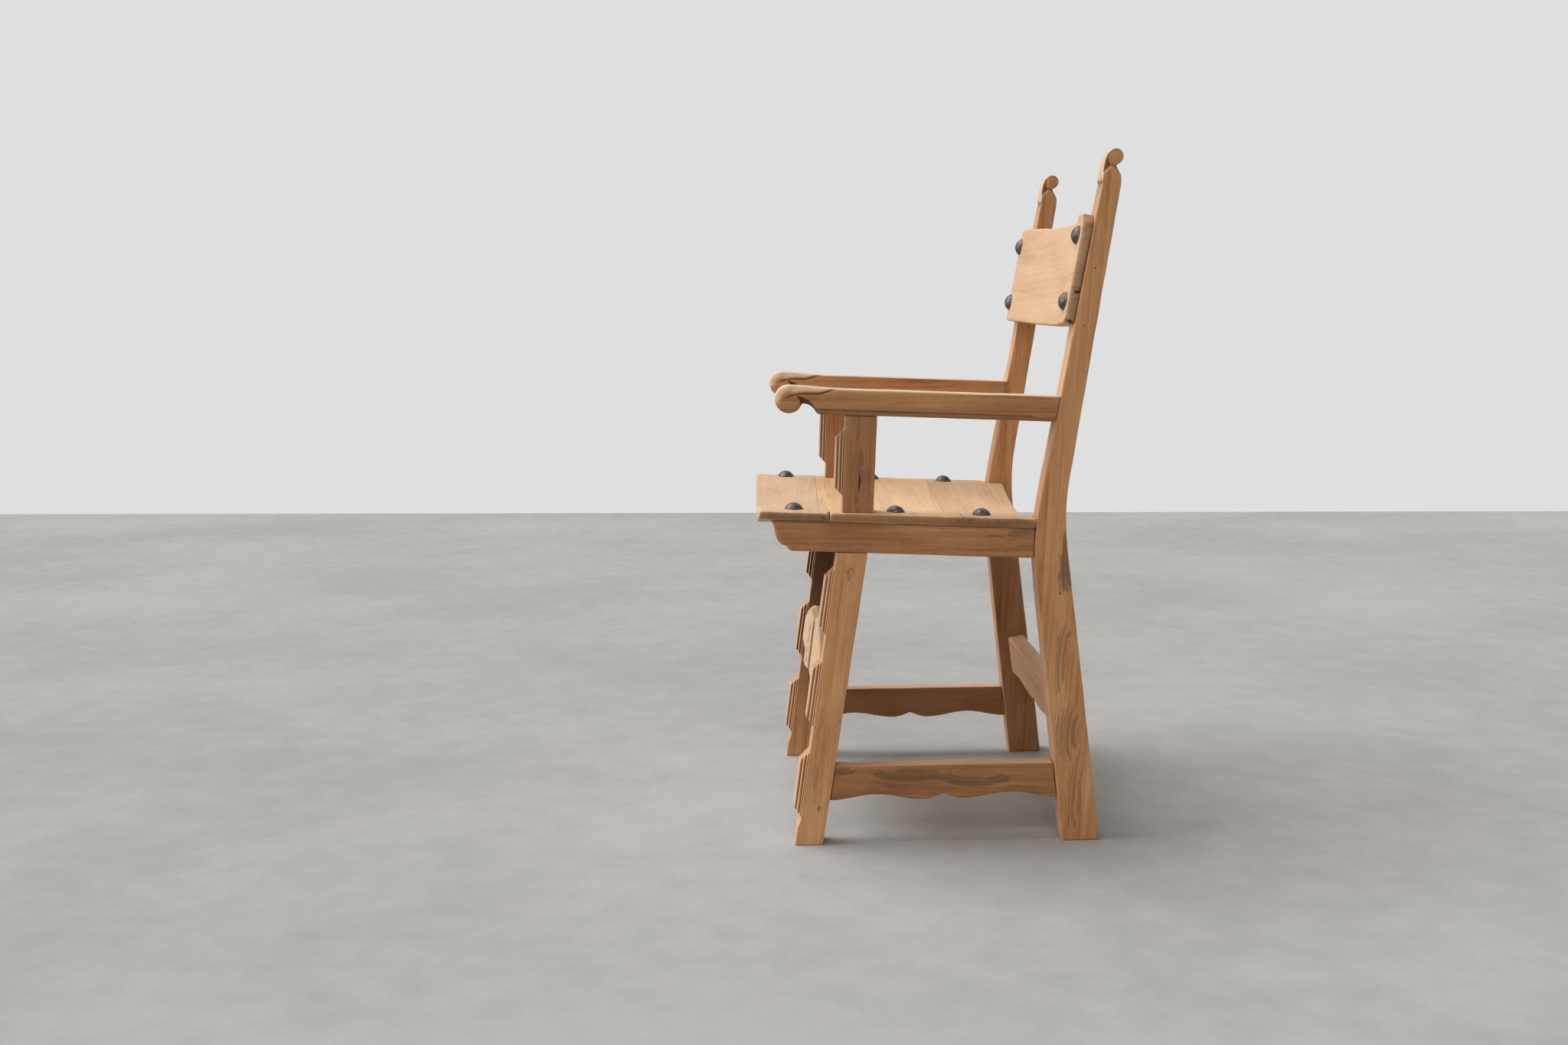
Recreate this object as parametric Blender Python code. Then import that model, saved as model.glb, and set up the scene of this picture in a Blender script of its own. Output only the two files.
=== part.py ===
"""Carved wooden armchair: a mortised frame with a scooped plank seat and back held by iron dome nails.

Metres, +Z up. The chair faces -Y, the sitter's left is +X, and the origin is on the floor under its middle.
"""

import math

import bmesh
import bpy
from mathutils import Matrix, Vector

# Gap between pieces that touch
CLEARANCE = 0.0003

# Frame across the chair
HALF_WIDTH = 0.285  # middle of the chair to the outer face of posts and legs
POST_WIDTH = 0.040

# Seat, whose planes lean with it: d runs to the rear along the seat, h runs up from its side borders
SEAT_HEIGHT = 0.473  # top of the side borders, above the origin
SEAT_PITCH = math.radians(2.65)
SEAT_FRONT = -0.2545
SEAT_REAR = 0.163
SEAT_JOINTS = (-0.154, 0.0345)
SEAT_OVERHANG = 0.005  # past the posts' outer faces
SEAT_THICKNESS = 0.013
SEAT_SCOOP = 0.030
SEAT_BORDER = 0.054  # flat strip along each side
PLANK_ROUND = 0.006

# Side rails
RAIL_HEIGHT = 0.0435
RAIL_WIDTH = 0.044
RAIL_INSET = 0.002  # behind the posts' outer faces
RAIL_FRONT = -0.239
RAIL_OGEE = 0.032  # length of the shaped end

# Rear posts, front and rear edge of the side view
POST_FOOT_FRONT = 0.1745
POST_FOOT_REAR = 0.2285
KNEE_FRONT = 0.131
KNEE_FRONT_DROP = 0.038  # below the seat
KNEE_REAR = 0.1753
KNEE_REAR_RISE = 0.002  # above the seat
KNEE_RADIUS = 0.360
BACK_LEAN = math.radians(10.85)  # front edge above the knee
POST_REAR_LEAN = math.radians(9.68)
HEAD_RISE = 0.457  # start of the finial, above the seat

# Finial, from the post's front edge where it starts
FINIAL_SCROLL = (0.0195, 0.0377)
FINIAL_RADIUS = 0.0111
FINIAL_LEAF = 0.020  # straight front of the leaf
FINIAL_NOTCH = 0.0012  # under the scroll

# Front legs, front and rear edge of the side view
LEG_FOOT_FRONT = -0.2066
LEG_FOOT_REAR = -0.1693
LEG_FRONT_LEAN = math.radians(8.30)
LEG_REAR_LEAN = math.radians(9.10)
TOE_PROUD = 0.003  # plain foot in front of the leg's front edge
TOE_HEIGHT = 0.022

# Ribbed panels on the fronts of the legs and arm posts
PANEL_COUNT = 3
PANEL_LENGTH = 0.094
PANEL_FOOT = 0.0425  # plain leg under the lowest panel
PANEL_HEAD = 0.0245  # plain leg over the highest panel
PANEL_MARGIN = 0.0008  # side of the panel inside the side of its leg
PANEL_ROOT = 0.003  # how far a panel reaches into its leg
PANEL_STEPS = (
    (0.0, 0.0010),
    (0.0022, 0.0034),
    (0.0026, 0.0062),
    (0.0046, 0.0082),
    (0.0050, 0.0106),
    (0.0064, 0.0120),
)  # inset from the panel's side and reach in front of the leg

# Arms and arm posts, in the seat's plane
ARM_RISE = 0.137  # seat to underside of arm
ARM_HEIGHT = 0.036
ARM_WIDTH = 0.044
ARM_SCROLL_RADIUS = 0.0195
ARM_SCROLL_MIDDLE = -0.2175
ARM_COVE_END = -0.1765  # where the underside leaves the cove behind the scroll
ARM_COVE_HEIGHT = 0.0144
ARM_POST_FRONT = -0.1374
ARM_POST_DEPTH = 0.0444
ARM_PANEL_FOOT = 0.0235

# Back board, laid on the posts' front faces and measured up them from the knee
BACK_BOTTOM = 0.307
BACK_HEIGHT = 0.154
BACK_JOINT = 0.0485  # height of the lower board
BACK_THICKNESS = 0.016
BACK_SCOOP = 0.028
BACK_EAR = 0.010  # rounding of the top corners
BACK_MARGIN = 0.002  # scoop to the posts' inner faces

# Stretchers
SIDE_STRETCHER_TOP = 0.1142
SIDE_STRETCHER_HEIGHT = 0.051
SIDE_STRETCHER_WIDTH = 0.029
SIDE_STRETCHER_INSET = 0.005
SIDE_STRETCHER_WAVE = 0.008
REAR_STRETCHER_TOP = 0.207
REAR_STRETCHER_HEIGHT = 0.062
REAR_STRETCHER_DEPTH = 0.028
REAR_STRETCHER_INSET = 0.006
REAR_STRETCHER_WAVE = 0.004
FRONT_STRETCHER_LOW = 0.2083
FRONT_STRETCHER_END = 0.039  # height at the legs
FRONT_STRETCHER_MIDDLE = 0.0885
FRONT_STRETCHER_DEPTH = 0.026
FRONT_STRETCHER_PROUD = 0.003  # in front of the legs' front faces
BOSS_HALF_WIDTH = 0.045
BOSS_PROUD = 0.006
BOSS_MARGIN = 0.002  # boss inside the stretcher's edges

# Tenons
TENON_THICKNESS = 0.012
TENON_ROOT = 0.010  # overlap with the tenon's own piece
RAIL_TENON = (0.025, 0.026)  # length and width
LEG_TENON = (0.022, 0.024)
ARM_POST_TENON = (0.018, 0.026)
ARM_TENON = (0.018, 0.020)
SIDE_STRETCHER_TENON = (0.018, 0.032)
CROSS_TENON = (0.020, 0.030)
CROSS_TENON_THICKNESS = 0.011

# Dome nails
SEAT_NAIL_INSET = 0.031  # from the posts' outer faces
SEAT_NAIL_REAR = 0.0285  # behind the front edge of the rear plank
BACK_NAIL_MARGINS = (0.031, 0.030)  # from the lower and the upper edge of the back board
NAIL_RADIUS = 0.0136
NAIL_DOME = 0.0090
NAIL_SHANK = 0.0025
NAIL_BITE = 0.018  # into rail or post
NAIL_POINT = 0.005

# Facets
ARC_STEPS = 10
SCROLL_STEPS = 22
SCOOP_STEPS = 18
NAIL_SIDES = 16

# Colours, as linear RGB
FRAME_COLOUR = (0.36, 0.20, 0.095)
PLANK_COLOUR = (0.52, 0.33, 0.17)
IRON_COLOUR = (0.055, 0.050, 0.045)

# Worked out from the sizes above
INNER = HALF_WIDTH - POST_WIDTH
JOINT_X = HALF_WIDTH - POST_WIDTH / 2
SEAT = (0.0, SEAT_HEIGHT, SEAT_PITCH)
RAIL_TOP = -SEAT_THICKNESS - CLEARANCE
RAIL_BOTTOM = RAIL_TOP - RAIL_HEIGHT
LEG_FACE = (LEG_FOOT_FRONT, 0.0, LEG_FRONT_LEAN)
BACK = (KNEE_FRONT, SEAT_HEIGHT - KNEE_FRONT_DROP, BACK_LEAN)
KNEE_REAR_HEIGHT = SEAT_HEIGHT + KNEE_REAR_RISE
POST_FOOT_LEAN = math.atan2(KNEE_REAR - POST_FOOT_REAR, KNEE_REAR_HEIGHT)
POST_BACK = (POST_FOOT_REAR, 0.0, POST_FOOT_LEAN)


def clear_scene():
    for item in list(bpy.data.objects):
        bpy.data.objects.remove(item, do_unlink=True)


def at(plane, d, h):
    """The (y, z) of a point d behind the front of a leaning plane and h up it."""
    y, z, lean = plane
    return (
        y + d * math.cos(lean) + h * math.sin(lean),
        z - d * math.sin(lean) + h * math.cos(lean),
    )


def spread(low, high, count):
    """Evenly spaced values, both ends included."""
    return [low + (high - low) * i / (count - 1) for i in range(count)]


def arc(centre, radius, start, end, steps):
    """Points on a circle from one angle in degrees to another."""
    angles = [math.radians(a) for a in spread(start, end, steps + 1)]
    return [(centre[0] + radius * math.cos(a), centre[1] + radius * math.sin(a)) for a in angles]


def bezier(p0, p1, p2, p3, steps=ARC_STEPS):
    """Points on a cubic curve, both ends included."""
    points = []
    for t in spread(0.0, 1.0, steps + 1):
        s = 1.0 - t
        weights = (s * s * s, 3 * s * s * t, 3 * s * t * t, t * t * t)
        points.append(tuple(sum(w * p[i] for w, p in zip(weights, (p0, p1, p2, p3))) for i in (0, 1)))
    return points


def fillet(before, corner, after, radius):
    """The arc that rounds a corner between two straight runs."""
    corner = Vector(corner)
    to_before = (Vector(before) - corner).normalized()
    to_after = (Vector(after) - corner).normalized()
    half = to_before.angle(to_after) / 2
    middle = (to_before + to_after).normalized()
    centre = corner + middle * radius / math.sin(half)
    first = corner + to_before * radius / math.tan(half) - centre
    last = corner + to_after * radius / math.tan(half) - centre
    points = []
    for t in spread(0.0, 1.0, ARC_STEPS + 1):
        points.append(tuple(centre + first.lerp(last, t).normalized() * radius))
    return points


def edge_y(edge, z):
    """The y of an edge, given from the floor up, at a height."""
    for (y0, z0), (y1, z1) in zip(edge, edge[1:]):
        if z <= z1:
            break
    return y0 + (y1 - y0) * (z - z0) / (z1 - z0)


def meet(edge, plane, h, gap):
    """How far back a line h up a plane runs before it is gap in front of an edge."""
    d = 0.0
    for _ in range(20):
        y, z = at(plane, d, h)
        d += edge_y(edge, z) - gap - y
    return d


def straight_edge(foot, lean):
    """An edge that leans back from its foot, longer than any leg."""
    return [(foot, 0.0), (foot + math.tan(lean), 1.0)]


def post_front_edge():
    foot = (POST_FOOT_FRONT, 0.0)
    knee = BACK[:2]
    rise = SEAT_HEIGHT + HEAD_RISE - knee[1]
    head = (knee[0] + math.tan(BACK_LEAN) * rise, knee[1] + rise)
    return [foot] + fillet(foot, knee, head, KNEE_RADIUS) + [head]


def post_rear_edge():
    foot = (POST_FOOT_REAR, 0.0)
    knee = (KNEE_REAR, KNEE_REAR_HEIGHT)
    rise = SEAT_HEIGHT + HEAD_RISE - knee[1]
    head = (knee[0] + math.tan(POST_REAR_LEAN) * rise, knee[1] + rise)
    return [foot] + fillet(foot, knee, head, KNEE_RADIUS) + [head]


POST_FRONT = post_front_edge()
POST_REAR = post_rear_edge()
LEG_FRONT = straight_edge(LEG_FOOT_FRONT, LEG_FRONT_LEAN)
LEG_REAR = straight_edge(LEG_FOOT_REAR, LEG_REAR_LEAN)


def new_object(name, mesh):
    """Closes a bmesh off as a named object with its faces pointing out."""
    bmesh.ops.remove_doubles(mesh, verts=mesh.verts, dist=1e-6)
    bmesh.ops.recalc_face_normals(mesh, faces=mesh.faces)
    data = bpy.data.meshes.new(name)
    mesh.to_mesh(data)
    mesh.free()
    item = bpy.data.objects.new(name, data)
    bpy.context.scene.collection.objects.link(item)
    return item


def loft(name, rings):
    """A solid through closed rings with the same number of points."""
    mesh = bmesh.new()
    rows = [[mesh.verts.new(point) for point in ring] for ring in rings]
    for row, after in zip(rows, rows[1:]):
        for i in range(len(row)):
            mesh.faces.new((row[i - 1], row[i], after[i], after[i - 1]))
    mesh.faces.new(rows[0])
    mesh.faces.new(rows[-1])
    return new_object(name, mesh)


def prism(name, outline, x_start, x_end):
    """An outline of the chair's side view drawn out across the chair."""
    return loft(name, [[(x, y, z) for y, z in outline] for x in (x_start, x_end)])


def board(name, outline, plane, d_front, d_rear):
    """An outline of (x, h) in a leaning plane, drawn out through its thickness."""
    return loft(name, [[(x, *at(plane, d, h)) for x, h in outline] for d in (d_front, d_rear)])


def bar(start, end, half_width, grow=0.0):
    """The outline of a straight bar between two points of the side view."""
    start, end = Vector(start), Vector(end)
    along = (end - start).normalized()
    across = Vector((-along[1], along[0])) * (half_width + grow)
    start, end = start - along * grow, end + along * grow
    return [tuple(p) for p in (start - across, end - across, end + across, start + across)]


def hide(helper):
    helper.hide_render = True
    helper.display_type = "WIRE"


def change(piece, helper, operation):
    """A Boolean of a piece with a helper solid that isn't a piece itself."""
    hide(helper)
    modifier = piece.modifiers.new(helper.name, "BOOLEAN")
    modifier.operation = operation
    modifier.solver = "EXACT"
    modifier.object = helper


def tenon(piece, receivers, section, x_start, x_end):
    """Adds a tenon to a piece and its mortises to the others. section: start, end and width in side view."""
    start, end, width = section
    outward = math.copysign(1.0, x_end - x_start)
    stock = prism(f"{piece.name}_tenon_{len(piece.modifiers)}", bar(start, end, width / 2), x_start, x_end)
    change(piece, stock, "UNION")
    for receiver in receivers:
        hollow = bar(start, end, width / 2, CLEARANCE)
        name = f"{receiver.name}_mortise_{len(receiver.modifiers)}"
        limits = (x_start - outward * CLEARANCE, x_end + outward * CLEARANCE)
        change(receiver, prism(name, hollow, *limits), "DIFFERENCE")


def side_tenon(piece, receivers, side, start, end, width):
    """A tenon that lies in the plane of one side of the chair."""
    near, far = (side * (JOINT_X + s * TENON_THICKNESS / 2) for s in (-1, 1))
    tenon(piece, receivers, (start, end, width), near, far)


def cross_tenon(piece, receiver, side, middle, lean):
    """A tenon that runs across the chair into a leg or post."""
    length, height = CROSS_TENON
    up = Vector((math.sin(lean), math.cos(lean))) * height / 2
    middle = Vector(middle)
    section = (middle - up, middle + up, CROSS_TENON_THICKNESS)
    tenon(piece, [receiver], section, side * (INNER - TENON_ROOT), side * (INNER + length))


def ribbed_panel(name, plane, x_middle, half_width, low, high):
    """A block with stepped sides and ends cut back at 45 degrees, standing on a leaning face."""
    caps = [-PANEL_ROOT / 2] + [reach for _, reach in PANEL_STEPS]
    stations = [(low + cap, cap) for cap in caps] + [(high - cap, cap) for cap in reversed(caps)]
    rings = []
    for h, cap in stations:
        flank = [(half_width - inset, min(reach, cap)) for inset, reach in PANEL_STEPS]
        half = [(half_width, -PANEL_ROOT)] + flank
        outline = half + [(-x, reach) for x, reach in reversed(half)]
        rings.append([(x_middle + x, *at(plane, -reach, h)) for x, reach in outline])
    return loft(name, rings)


def scoop(x, half_width, depth):
    """Depth of a shallow round hollow across the chair."""
    return depth * max(0.0, 1.0 - (x / half_width) ** 2)


def rounding(x, half_width, radius):
    """Drop of a rounded edge at the end of a plank."""
    over = max(0.0, abs(x) - half_width + radius)
    return radius - math.sqrt(max(0.0, radius * radius - over * over))


def plank_positions(half_width, hollow_half_width):
    """Places across the chair where a scooped plank's section changes."""
    ends = [half_width - PLANK_ROUND * (1.0 - math.sin(math.radians(a))) for a in (0, 30, 60, 90)]
    hollow = spread(-hollow_half_width, hollow_half_width, SCOOP_STEPS + 1)
    return [-x for x in reversed(ends)] + hollow + ends


def seat_plank(name, d_front, d_rear):
    half_width = HALF_WIDTH + SEAT_OVERHANG
    hollow = half_width - SEAT_BORDER
    rings = []
    for x in plank_positions(half_width, hollow):
        drop = scoop(x, hollow, SEAT_SCOOP)
        top = -drop - rounding(x, half_width, PLANK_ROUND)
        bottom = -drop - SEAT_THICKNESS
        section = ((d_front, top), (d_rear, top), (d_rear, bottom), (d_front, bottom))
        rings.append([(x, *at(SEAT, d, h)) for d, h in section])
    return loft(name, rings)


def seat_planks():
    """Three planks, the rear one notched round the posts."""
    edges = (SEAT_FRONT,) + SEAT_JOINTS + (SEAT_REAR,)
    names = ("seat_plank_front", "seat_plank_middle", "seat_plank_rear")
    planks = {}
    for name, front, rear in zip(names, edges, edges[1:]):
        planks[name] = seat_plank(name, front + CLEARANCE / 2, rear - CLEARANCE / 2)
    around = [(y - CLEARANCE, z) for y, z in POST_FRONT]
    around += [(y + CLEARANCE, z) for y, z in reversed(POST_REAR)]
    for side, hand in ((1, "left"), (-1, "right")):
        beyond = side * (HALF_WIDTH + 2 * SEAT_OVERHANG)
        notch = prism(f"notch_{hand}", around, side * (INNER - CLEARANCE), beyond)
        change(planks["seat_plank_rear"], notch, "DIFFERENCE")
    return planks


def back_plank(name, low, high, ear):
    """A board of the back. ear is how far the rounding takes its top down at the ends."""
    hollow = INNER - BACK_MARGIN
    rings = []
    for x in plank_positions(HALF_WIDTH, hollow):
        round_off = rounding(x, HALF_WIDTH, PLANK_ROUND)
        rear = CLEARANCE - scoop(x, hollow, BACK_SCOOP)
        front = rear + BACK_THICKNESS - round_off
        top = high - round_off * ear / PLANK_ROUND
        section = ((front, low), (front, top), (rear, top), (rear, low))
        rings.append([(x, *at(BACK, -proud, h)) for proud, h in section])
    return loft(name, rings)


def back_planks():
    joint = BACK_BOTTOM + BACK_JOINT
    top = BACK_BOTTOM + BACK_HEIGHT
    lower = back_plank("back_plank_lower", BACK_BOTTOM, joint - CLEARANCE / 2, 0.0)
    upper = back_plank("back_plank_upper", joint + CLEARANCE / 2, top, BACK_EAR)
    return {lower.name: lower, upper.name: upper}


def finial_outline():
    """The leaf, scroll and shoulder over the post, from its front edge round to its rear edge."""
    front, rear = POST_FRONT[-1], POST_REAR[-1]
    centre = (front[0] + FINIAL_SCROLL[0], front[1] + FINIAL_SCROLL[1])
    top = (centre[0], centre[1] + FINIAL_RADIUS)
    leaf = (front[0] + FINIAL_LEAF * math.tan(BACK_LEAN) / 2, front[1] + FINIAL_LEAF)
    lip = (leaf[0] + FINIAL_RADIUS * 0.2, leaf[1] + FINIAL_RADIUS * 1.6)
    crown = (top[0] - FINIAL_RADIUS * 0.8, top[1])
    under = centre[1] - FINIAL_RADIUS - FINIAL_NOTCH
    shoulder = (centre[0] + FINIAL_NOTCH, under - FINIAL_NOTCH)
    bulge = (rear[0] + FINIAL_NOTCH, rear[1] + FINIAL_RADIUS)
    outline = bezier(leaf, lip, crown, top)
    outline += arc(centre, FINIAL_RADIUS, 90, -75, SCROLL_STEPS)[1:]
    outline += [(centre[0] - FINIAL_NOTCH / 2, under)]
    outline += bezier(shoulder, (bulge[0] - FINIAL_NOTCH, bulge[1] + FINIAL_NOTCH), bulge, rear)
    return outline


def rear_post(name, side):
    outline = POST_FRONT + finial_outline() + POST_REAR[-2::-1]
    return prism(name, outline, side * INNER, side * HALF_WIDTH)


def rail_outline():
    ogee = [(0.0, 0.0), (0.19, 0.09), (0.22, 0.32), (0.28, 0.46), (0.34, 0.69), (0.53, 0.83), (0.80, 0.84)]
    nose = [(RAIL_FRONT + RAIL_OGEE * d, RAIL_TOP - RAIL_HEIGHT * h) for d, h in ogee]
    step = (RAIL_FRONT + RAIL_OGEE * 0.87, RAIL_TOP - RAIL_HEIGHT * 0.94)
    end = [(RAIL_FRONT + RAIL_OGEE, RAIL_BOTTOM)]
    front = bezier(*nose[:4]) + bezier(*nose[3:])[1:] + [step] + end
    rear = [(meet(POST_FRONT, SEAT, h, CLEARANCE), h) for h in spread(RAIL_BOTTOM, RAIL_TOP, ARC_STEPS)]
    return [at(SEAT, d, h) for d, h in front + rear]


def side_rail(name, side, post):
    outer = HALF_WIDTH - RAIL_INSET
    rail = prism(name, rail_outline(), side * (outer - RAIL_WIDTH), side * outer)
    middle = (RAIL_TOP + RAIL_BOTTOM) / 2
    shoulder = meet(POST_FRONT, SEAT, middle, CLEARANCE)
    length, width = RAIL_TENON
    start, end = (at(SEAT, d, middle) for d in (shoulder - TENON_ROOT, shoulder + length))
    side_tenon(rail, [post], side, start, end, width)
    return rail


def toe_outline():
    """Front of the plain foot, from under the lowest panel down to the floor."""
    top = PANEL_FOOT - PANEL_ROOT
    reach = (top - TOE_HEIGHT) / 2
    curve = ((0.0, top), (0.0, top - reach), (-TOE_PROUD, TOE_HEIGHT + reach), (-TOE_PROUD, TOE_HEIGHT))
    floor = (LEG_FOOT_FRONT - TOE_PROUD, 0.0)
    return bezier(*(at(LEG_FACE, d, h) for d, h in curve)) + [floor]


def front_leg(name, side, rail):
    head = RAIL_BOTTOM - CLEARANCE
    tops = [at(SEAT, meet(edge, SEAT, head, 0.0), head) for edge in (LEG_REAR, LEG_FRONT)]
    leg = prism(name, toe_outline() + [LEG_REAR[0]] + tops, side * INNER, side * HALF_WIDTH)
    top_length = tops[1][1] / math.cos(LEG_FRONT_LEAN)
    pitch = (top_length - PANEL_FOOT - PANEL_HEAD - PANEL_LENGTH) / (PANEL_COUNT - 1)
    half_width = POST_WIDTH / 2 - PANEL_MARGIN
    for n in range(PANEL_COUNT):
        low = PANEL_FOOT + n * pitch
        high = low + PANEL_LENGTH
        panel = ribbed_panel(f"{name}_panel_{n}", LEG_FACE, side * JOINT_X, half_width, low, high)
        change(leg, panel, "UNION")
    middle = (Vector(tops[0]) + Vector(tops[1])) / 2
    lean = (LEG_FRONT_LEAN + LEG_REAR_LEAN) / 2
    along = Vector((math.sin(lean), math.cos(lean)))
    length, width = LEG_TENON
    side_tenon(leg, [rail], side, middle - along * TENON_ROOT, middle + along * length, width)
    return leg


def arm_outline():
    """Side view of an arm: volute in front, cove under it, rear end against the post."""
    top = ARM_RISE + ARM_HEIGHT
    centre = (ARM_SCROLL_MIDDLE, ARM_RISE + ARM_SCROLL_RADIUS)
    crest = (centre[0], centre[1] + ARM_SCROLL_RADIUS)
    shoulder = (ARM_POST_FRONT, top)
    reach = (shoulder[0] - crest[0]) / 2
    volute = arc(centre, ARM_SCROLL_RADIUS, 90, 343, SCROLL_STEPS)
    cove_end = (ARM_COVE_END, ARM_RISE)
    hollow = ARM_RISE + ARM_COVE_HEIGHT
    half_cove = (volute[-1][0] + cove_end[0]) / 2
    outline = bezier(shoulder, (shoulder[0] - reach, top), (crest[0] + reach, crest[1]), crest)
    outline += volute[1:]
    turn = (cove_end[0] - ARM_COVE_HEIGHT / 3, ARM_RISE + ARM_COVE_HEIGHT * 0.6)
    outline += bezier(volute[-1], (half_cove, hollow), turn, cove_end)[1:]
    rear = [(meet(POST_FRONT, SEAT, h, CLEARANCE), h) for h in spread(ARM_RISE, top, 4)]
    return [at(SEAT, d, h) for d, h in outline + rear]


def arm(name, side, post):
    inner, outer = (JOINT_X + s * ARM_WIDTH / 2 for s in (-1, 1))
    piece = prism(name, arm_outline(), side * inner, side * outer)
    middle = ARM_RISE + ARM_HEIGHT / 2
    shoulder = meet(POST_FRONT, SEAT, middle, CLEARANCE)
    length, width = ARM_TENON
    start, end = (at(SEAT, d, middle) for d in (shoulder - TENON_ROOT, shoulder + length))
    side_tenon(piece, [post], side, start, end, width)
    return piece


def arm_post(name, side, arm_above, below):
    """A short post between seat and arm, whose lower tenon goes through the seat into the rail."""
    foot, head = CLEARANCE, ARM_RISE - CLEARANCE
    rear = ARM_POST_FRONT + ARM_POST_DEPTH
    corners = ((ARM_POST_FRONT, foot), (rear, foot), (rear, head), (ARM_POST_FRONT, head))
    inner = side * (INNER + RAIL_INSET)
    outer = side * (HALF_WIDTH - RAIL_INSET)
    post = prism(name, [at(SEAT, d, h) for d, h in corners], inner, outer)
    face = (*at(SEAT, ARM_POST_FRONT, 0.0), SEAT_PITCH)
    half_width = abs(outer - inner) / 2 - PANEL_MARGIN
    high = ARM_PANEL_FOOT + PANEL_LENGTH
    panel = ribbed_panel(f"{name}_panel", face, side * JOINT_X, half_width, ARM_PANEL_FOOT, high)
    change(post, panel, "UNION")
    middle = ARM_POST_FRONT + ARM_POST_DEPTH / 2
    length, width = ARM_POST_TENON
    lower = [at(SEAT, middle, h) for h in (foot + TENON_ROOT, RAIL_TOP - length)]
    upper = [at(SEAT, middle, h) for h in (head - TENON_ROOT, ARM_RISE + length)]
    side_tenon(post, below, side, *lower, width)
    side_tenon(post, [arm_above], side, *upper, width)
    return post


def wave(half_length):
    """Half of a double-ogee edge as (distance from the middle, height): a cusp, a lobe and an arch."""
    lobe, arch = half_length * 0.18, half_length * 0.60
    steps = spread(0.0, 1.0, ARC_STEPS + 1)
    points = [(lobe * t, 1.0 - math.sin(math.pi / 2 * t)) for t in steps]
    for start, end, sign in ((lobe, arch, 1), (arch, half_length, -1)):
        for t in steps[1:]:
            points.append((start + (end - start) * t, (1.0 - sign * math.cos(math.pi * t)) / 2))
    return points


def waved_edge(start, end, low, height):
    """A double-ogee underside from one end of a stretcher to the other."""
    middle = (start + end) / 2
    half = wave((end - start) / 2)
    points = [(middle - d, low + height * h) for d, h in reversed(half)]
    return points + [(middle + d, low + height * h) for d, h in half[1:]]


def side_stretcher(name, side, leg, post):
    top = SIDE_STRETCHER_TOP
    low = top - SIDE_STRETCHER_HEIGHT
    ends = {z: (edge_y(LEG_REAR, z) + CLEARANCE, edge_y(POST_FRONT, z) - CLEARANCE) for z in (low, top)}
    outline = waved_edge(*ends[low], low, SIDE_STRETCHER_WAVE)
    outline += [(ends[top][1], top), (ends[top][0], top)]
    outer = HALF_WIDTH - SIDE_STRETCHER_INSET
    piece = prism(name, outline, side * (outer - SIDE_STRETCHER_WIDTH), side * outer)
    length, width = SIDE_STRETCHER_TENON
    z = (top + low + SIDE_STRETCHER_WAVE) / 2
    into_leg = ((edge_y(LEG_REAR, z) + TENON_ROOT, z), (edge_y(LEG_REAR, z) - length, z))
    into_post = ((edge_y(POST_FRONT, z) - TENON_ROOT, z), (edge_y(POST_FRONT, z) + length, z))
    side_tenon(piece, [leg], side, *into_leg, width)
    side_tenon(piece, [post], side, *into_post, width)
    return piece


def rear_stretcher(posts):
    half = INNER - CLEARANCE
    low = REAR_STRETCHER_TOP - REAR_STRETCHER_HEIGHT
    outline = waved_edge(-half, half, low, REAR_STRETCHER_WAVE)
    outline += [(half, REAR_STRETCHER_TOP), (-half, REAR_STRETCHER_TOP)]
    rear = -REAR_STRETCHER_INSET
    piece = board("rear_stretcher", outline, POST_BACK, rear - REAR_STRETCHER_DEPTH, rear)
    middle = at(POST_BACK, rear - REAR_STRETCHER_DEPTH / 2, (low + REAR_STRETCHER_TOP) / 2)
    for side, post in posts.items():
        cross_tenon(piece, post, side, middle, POST_FOOT_LEAN)
    return piece


def front_stretcher(legs):
    """An arched board with a boss in the middle of its front."""
    half = INNER - CLEARANCE
    low = FRONT_STRETCHER_LOW
    front = -FRONT_STRETCHER_PROUD
    rear = front + FRONT_STRETCHER_DEPTH
    rise = FRONT_STRETCHER_MIDDLE - FRONT_STRETCHER_END

    def arch(x):
        return low + FRONT_STRETCHER_END + rise * (1.0 - (x / half) ** 2)

    outline = [(-half, low), (half, low)] + [(x, arch(x)) for x in spread(half, -half, 2 * ARC_STEPS + 1)]
    piece = board("front_stretcher", outline, LEG_FACE, front, rear)
    width, margin = BOSS_HALF_WIDTH, BOSS_MARGIN
    shape = [(-width, low + margin), (width, low + margin)]
    shape += [(x, arch(x) - margin) for x in spread(width, -width, 7)]
    boss = board("boss", shape, LEG_FACE, front - BOSS_PROUD, (front + rear) / 2)
    change(piece, boss, "UNION")
    middle = at(LEG_FACE, (front + rear) / 2, low + FRONT_STRETCHER_END / 2)
    for side, leg in legs.items():
        cross_tenon(piece, leg, side, middle, LEG_FRONT_LEAN)
    return piece


def turned(name, profile):
    """A round solid about Z from (radius, z) pairs, top to bottom, with a point at each end."""
    mesh = bmesh.new()
    rows = []
    for radius, z in profile:
        if radius == 0.0:
            rows.append([mesh.verts.new((0.0, 0.0, z))] * NAIL_SIDES)
            continue
        turns = [2 * math.pi * i / NAIL_SIDES for i in range(NAIL_SIDES)]
        rows.append([mesh.verts.new((radius * math.cos(a), radius * math.sin(a), z)) for a in turns])
    for row, below in zip(rows, rows[1:]):
        for i in range(NAIL_SIDES):
            corners = (row[i - 1], row[i], below[i], below[i - 1])
            mesh.faces.new(list(dict.fromkeys(corners)))
    return new_object(name, mesh)


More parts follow.
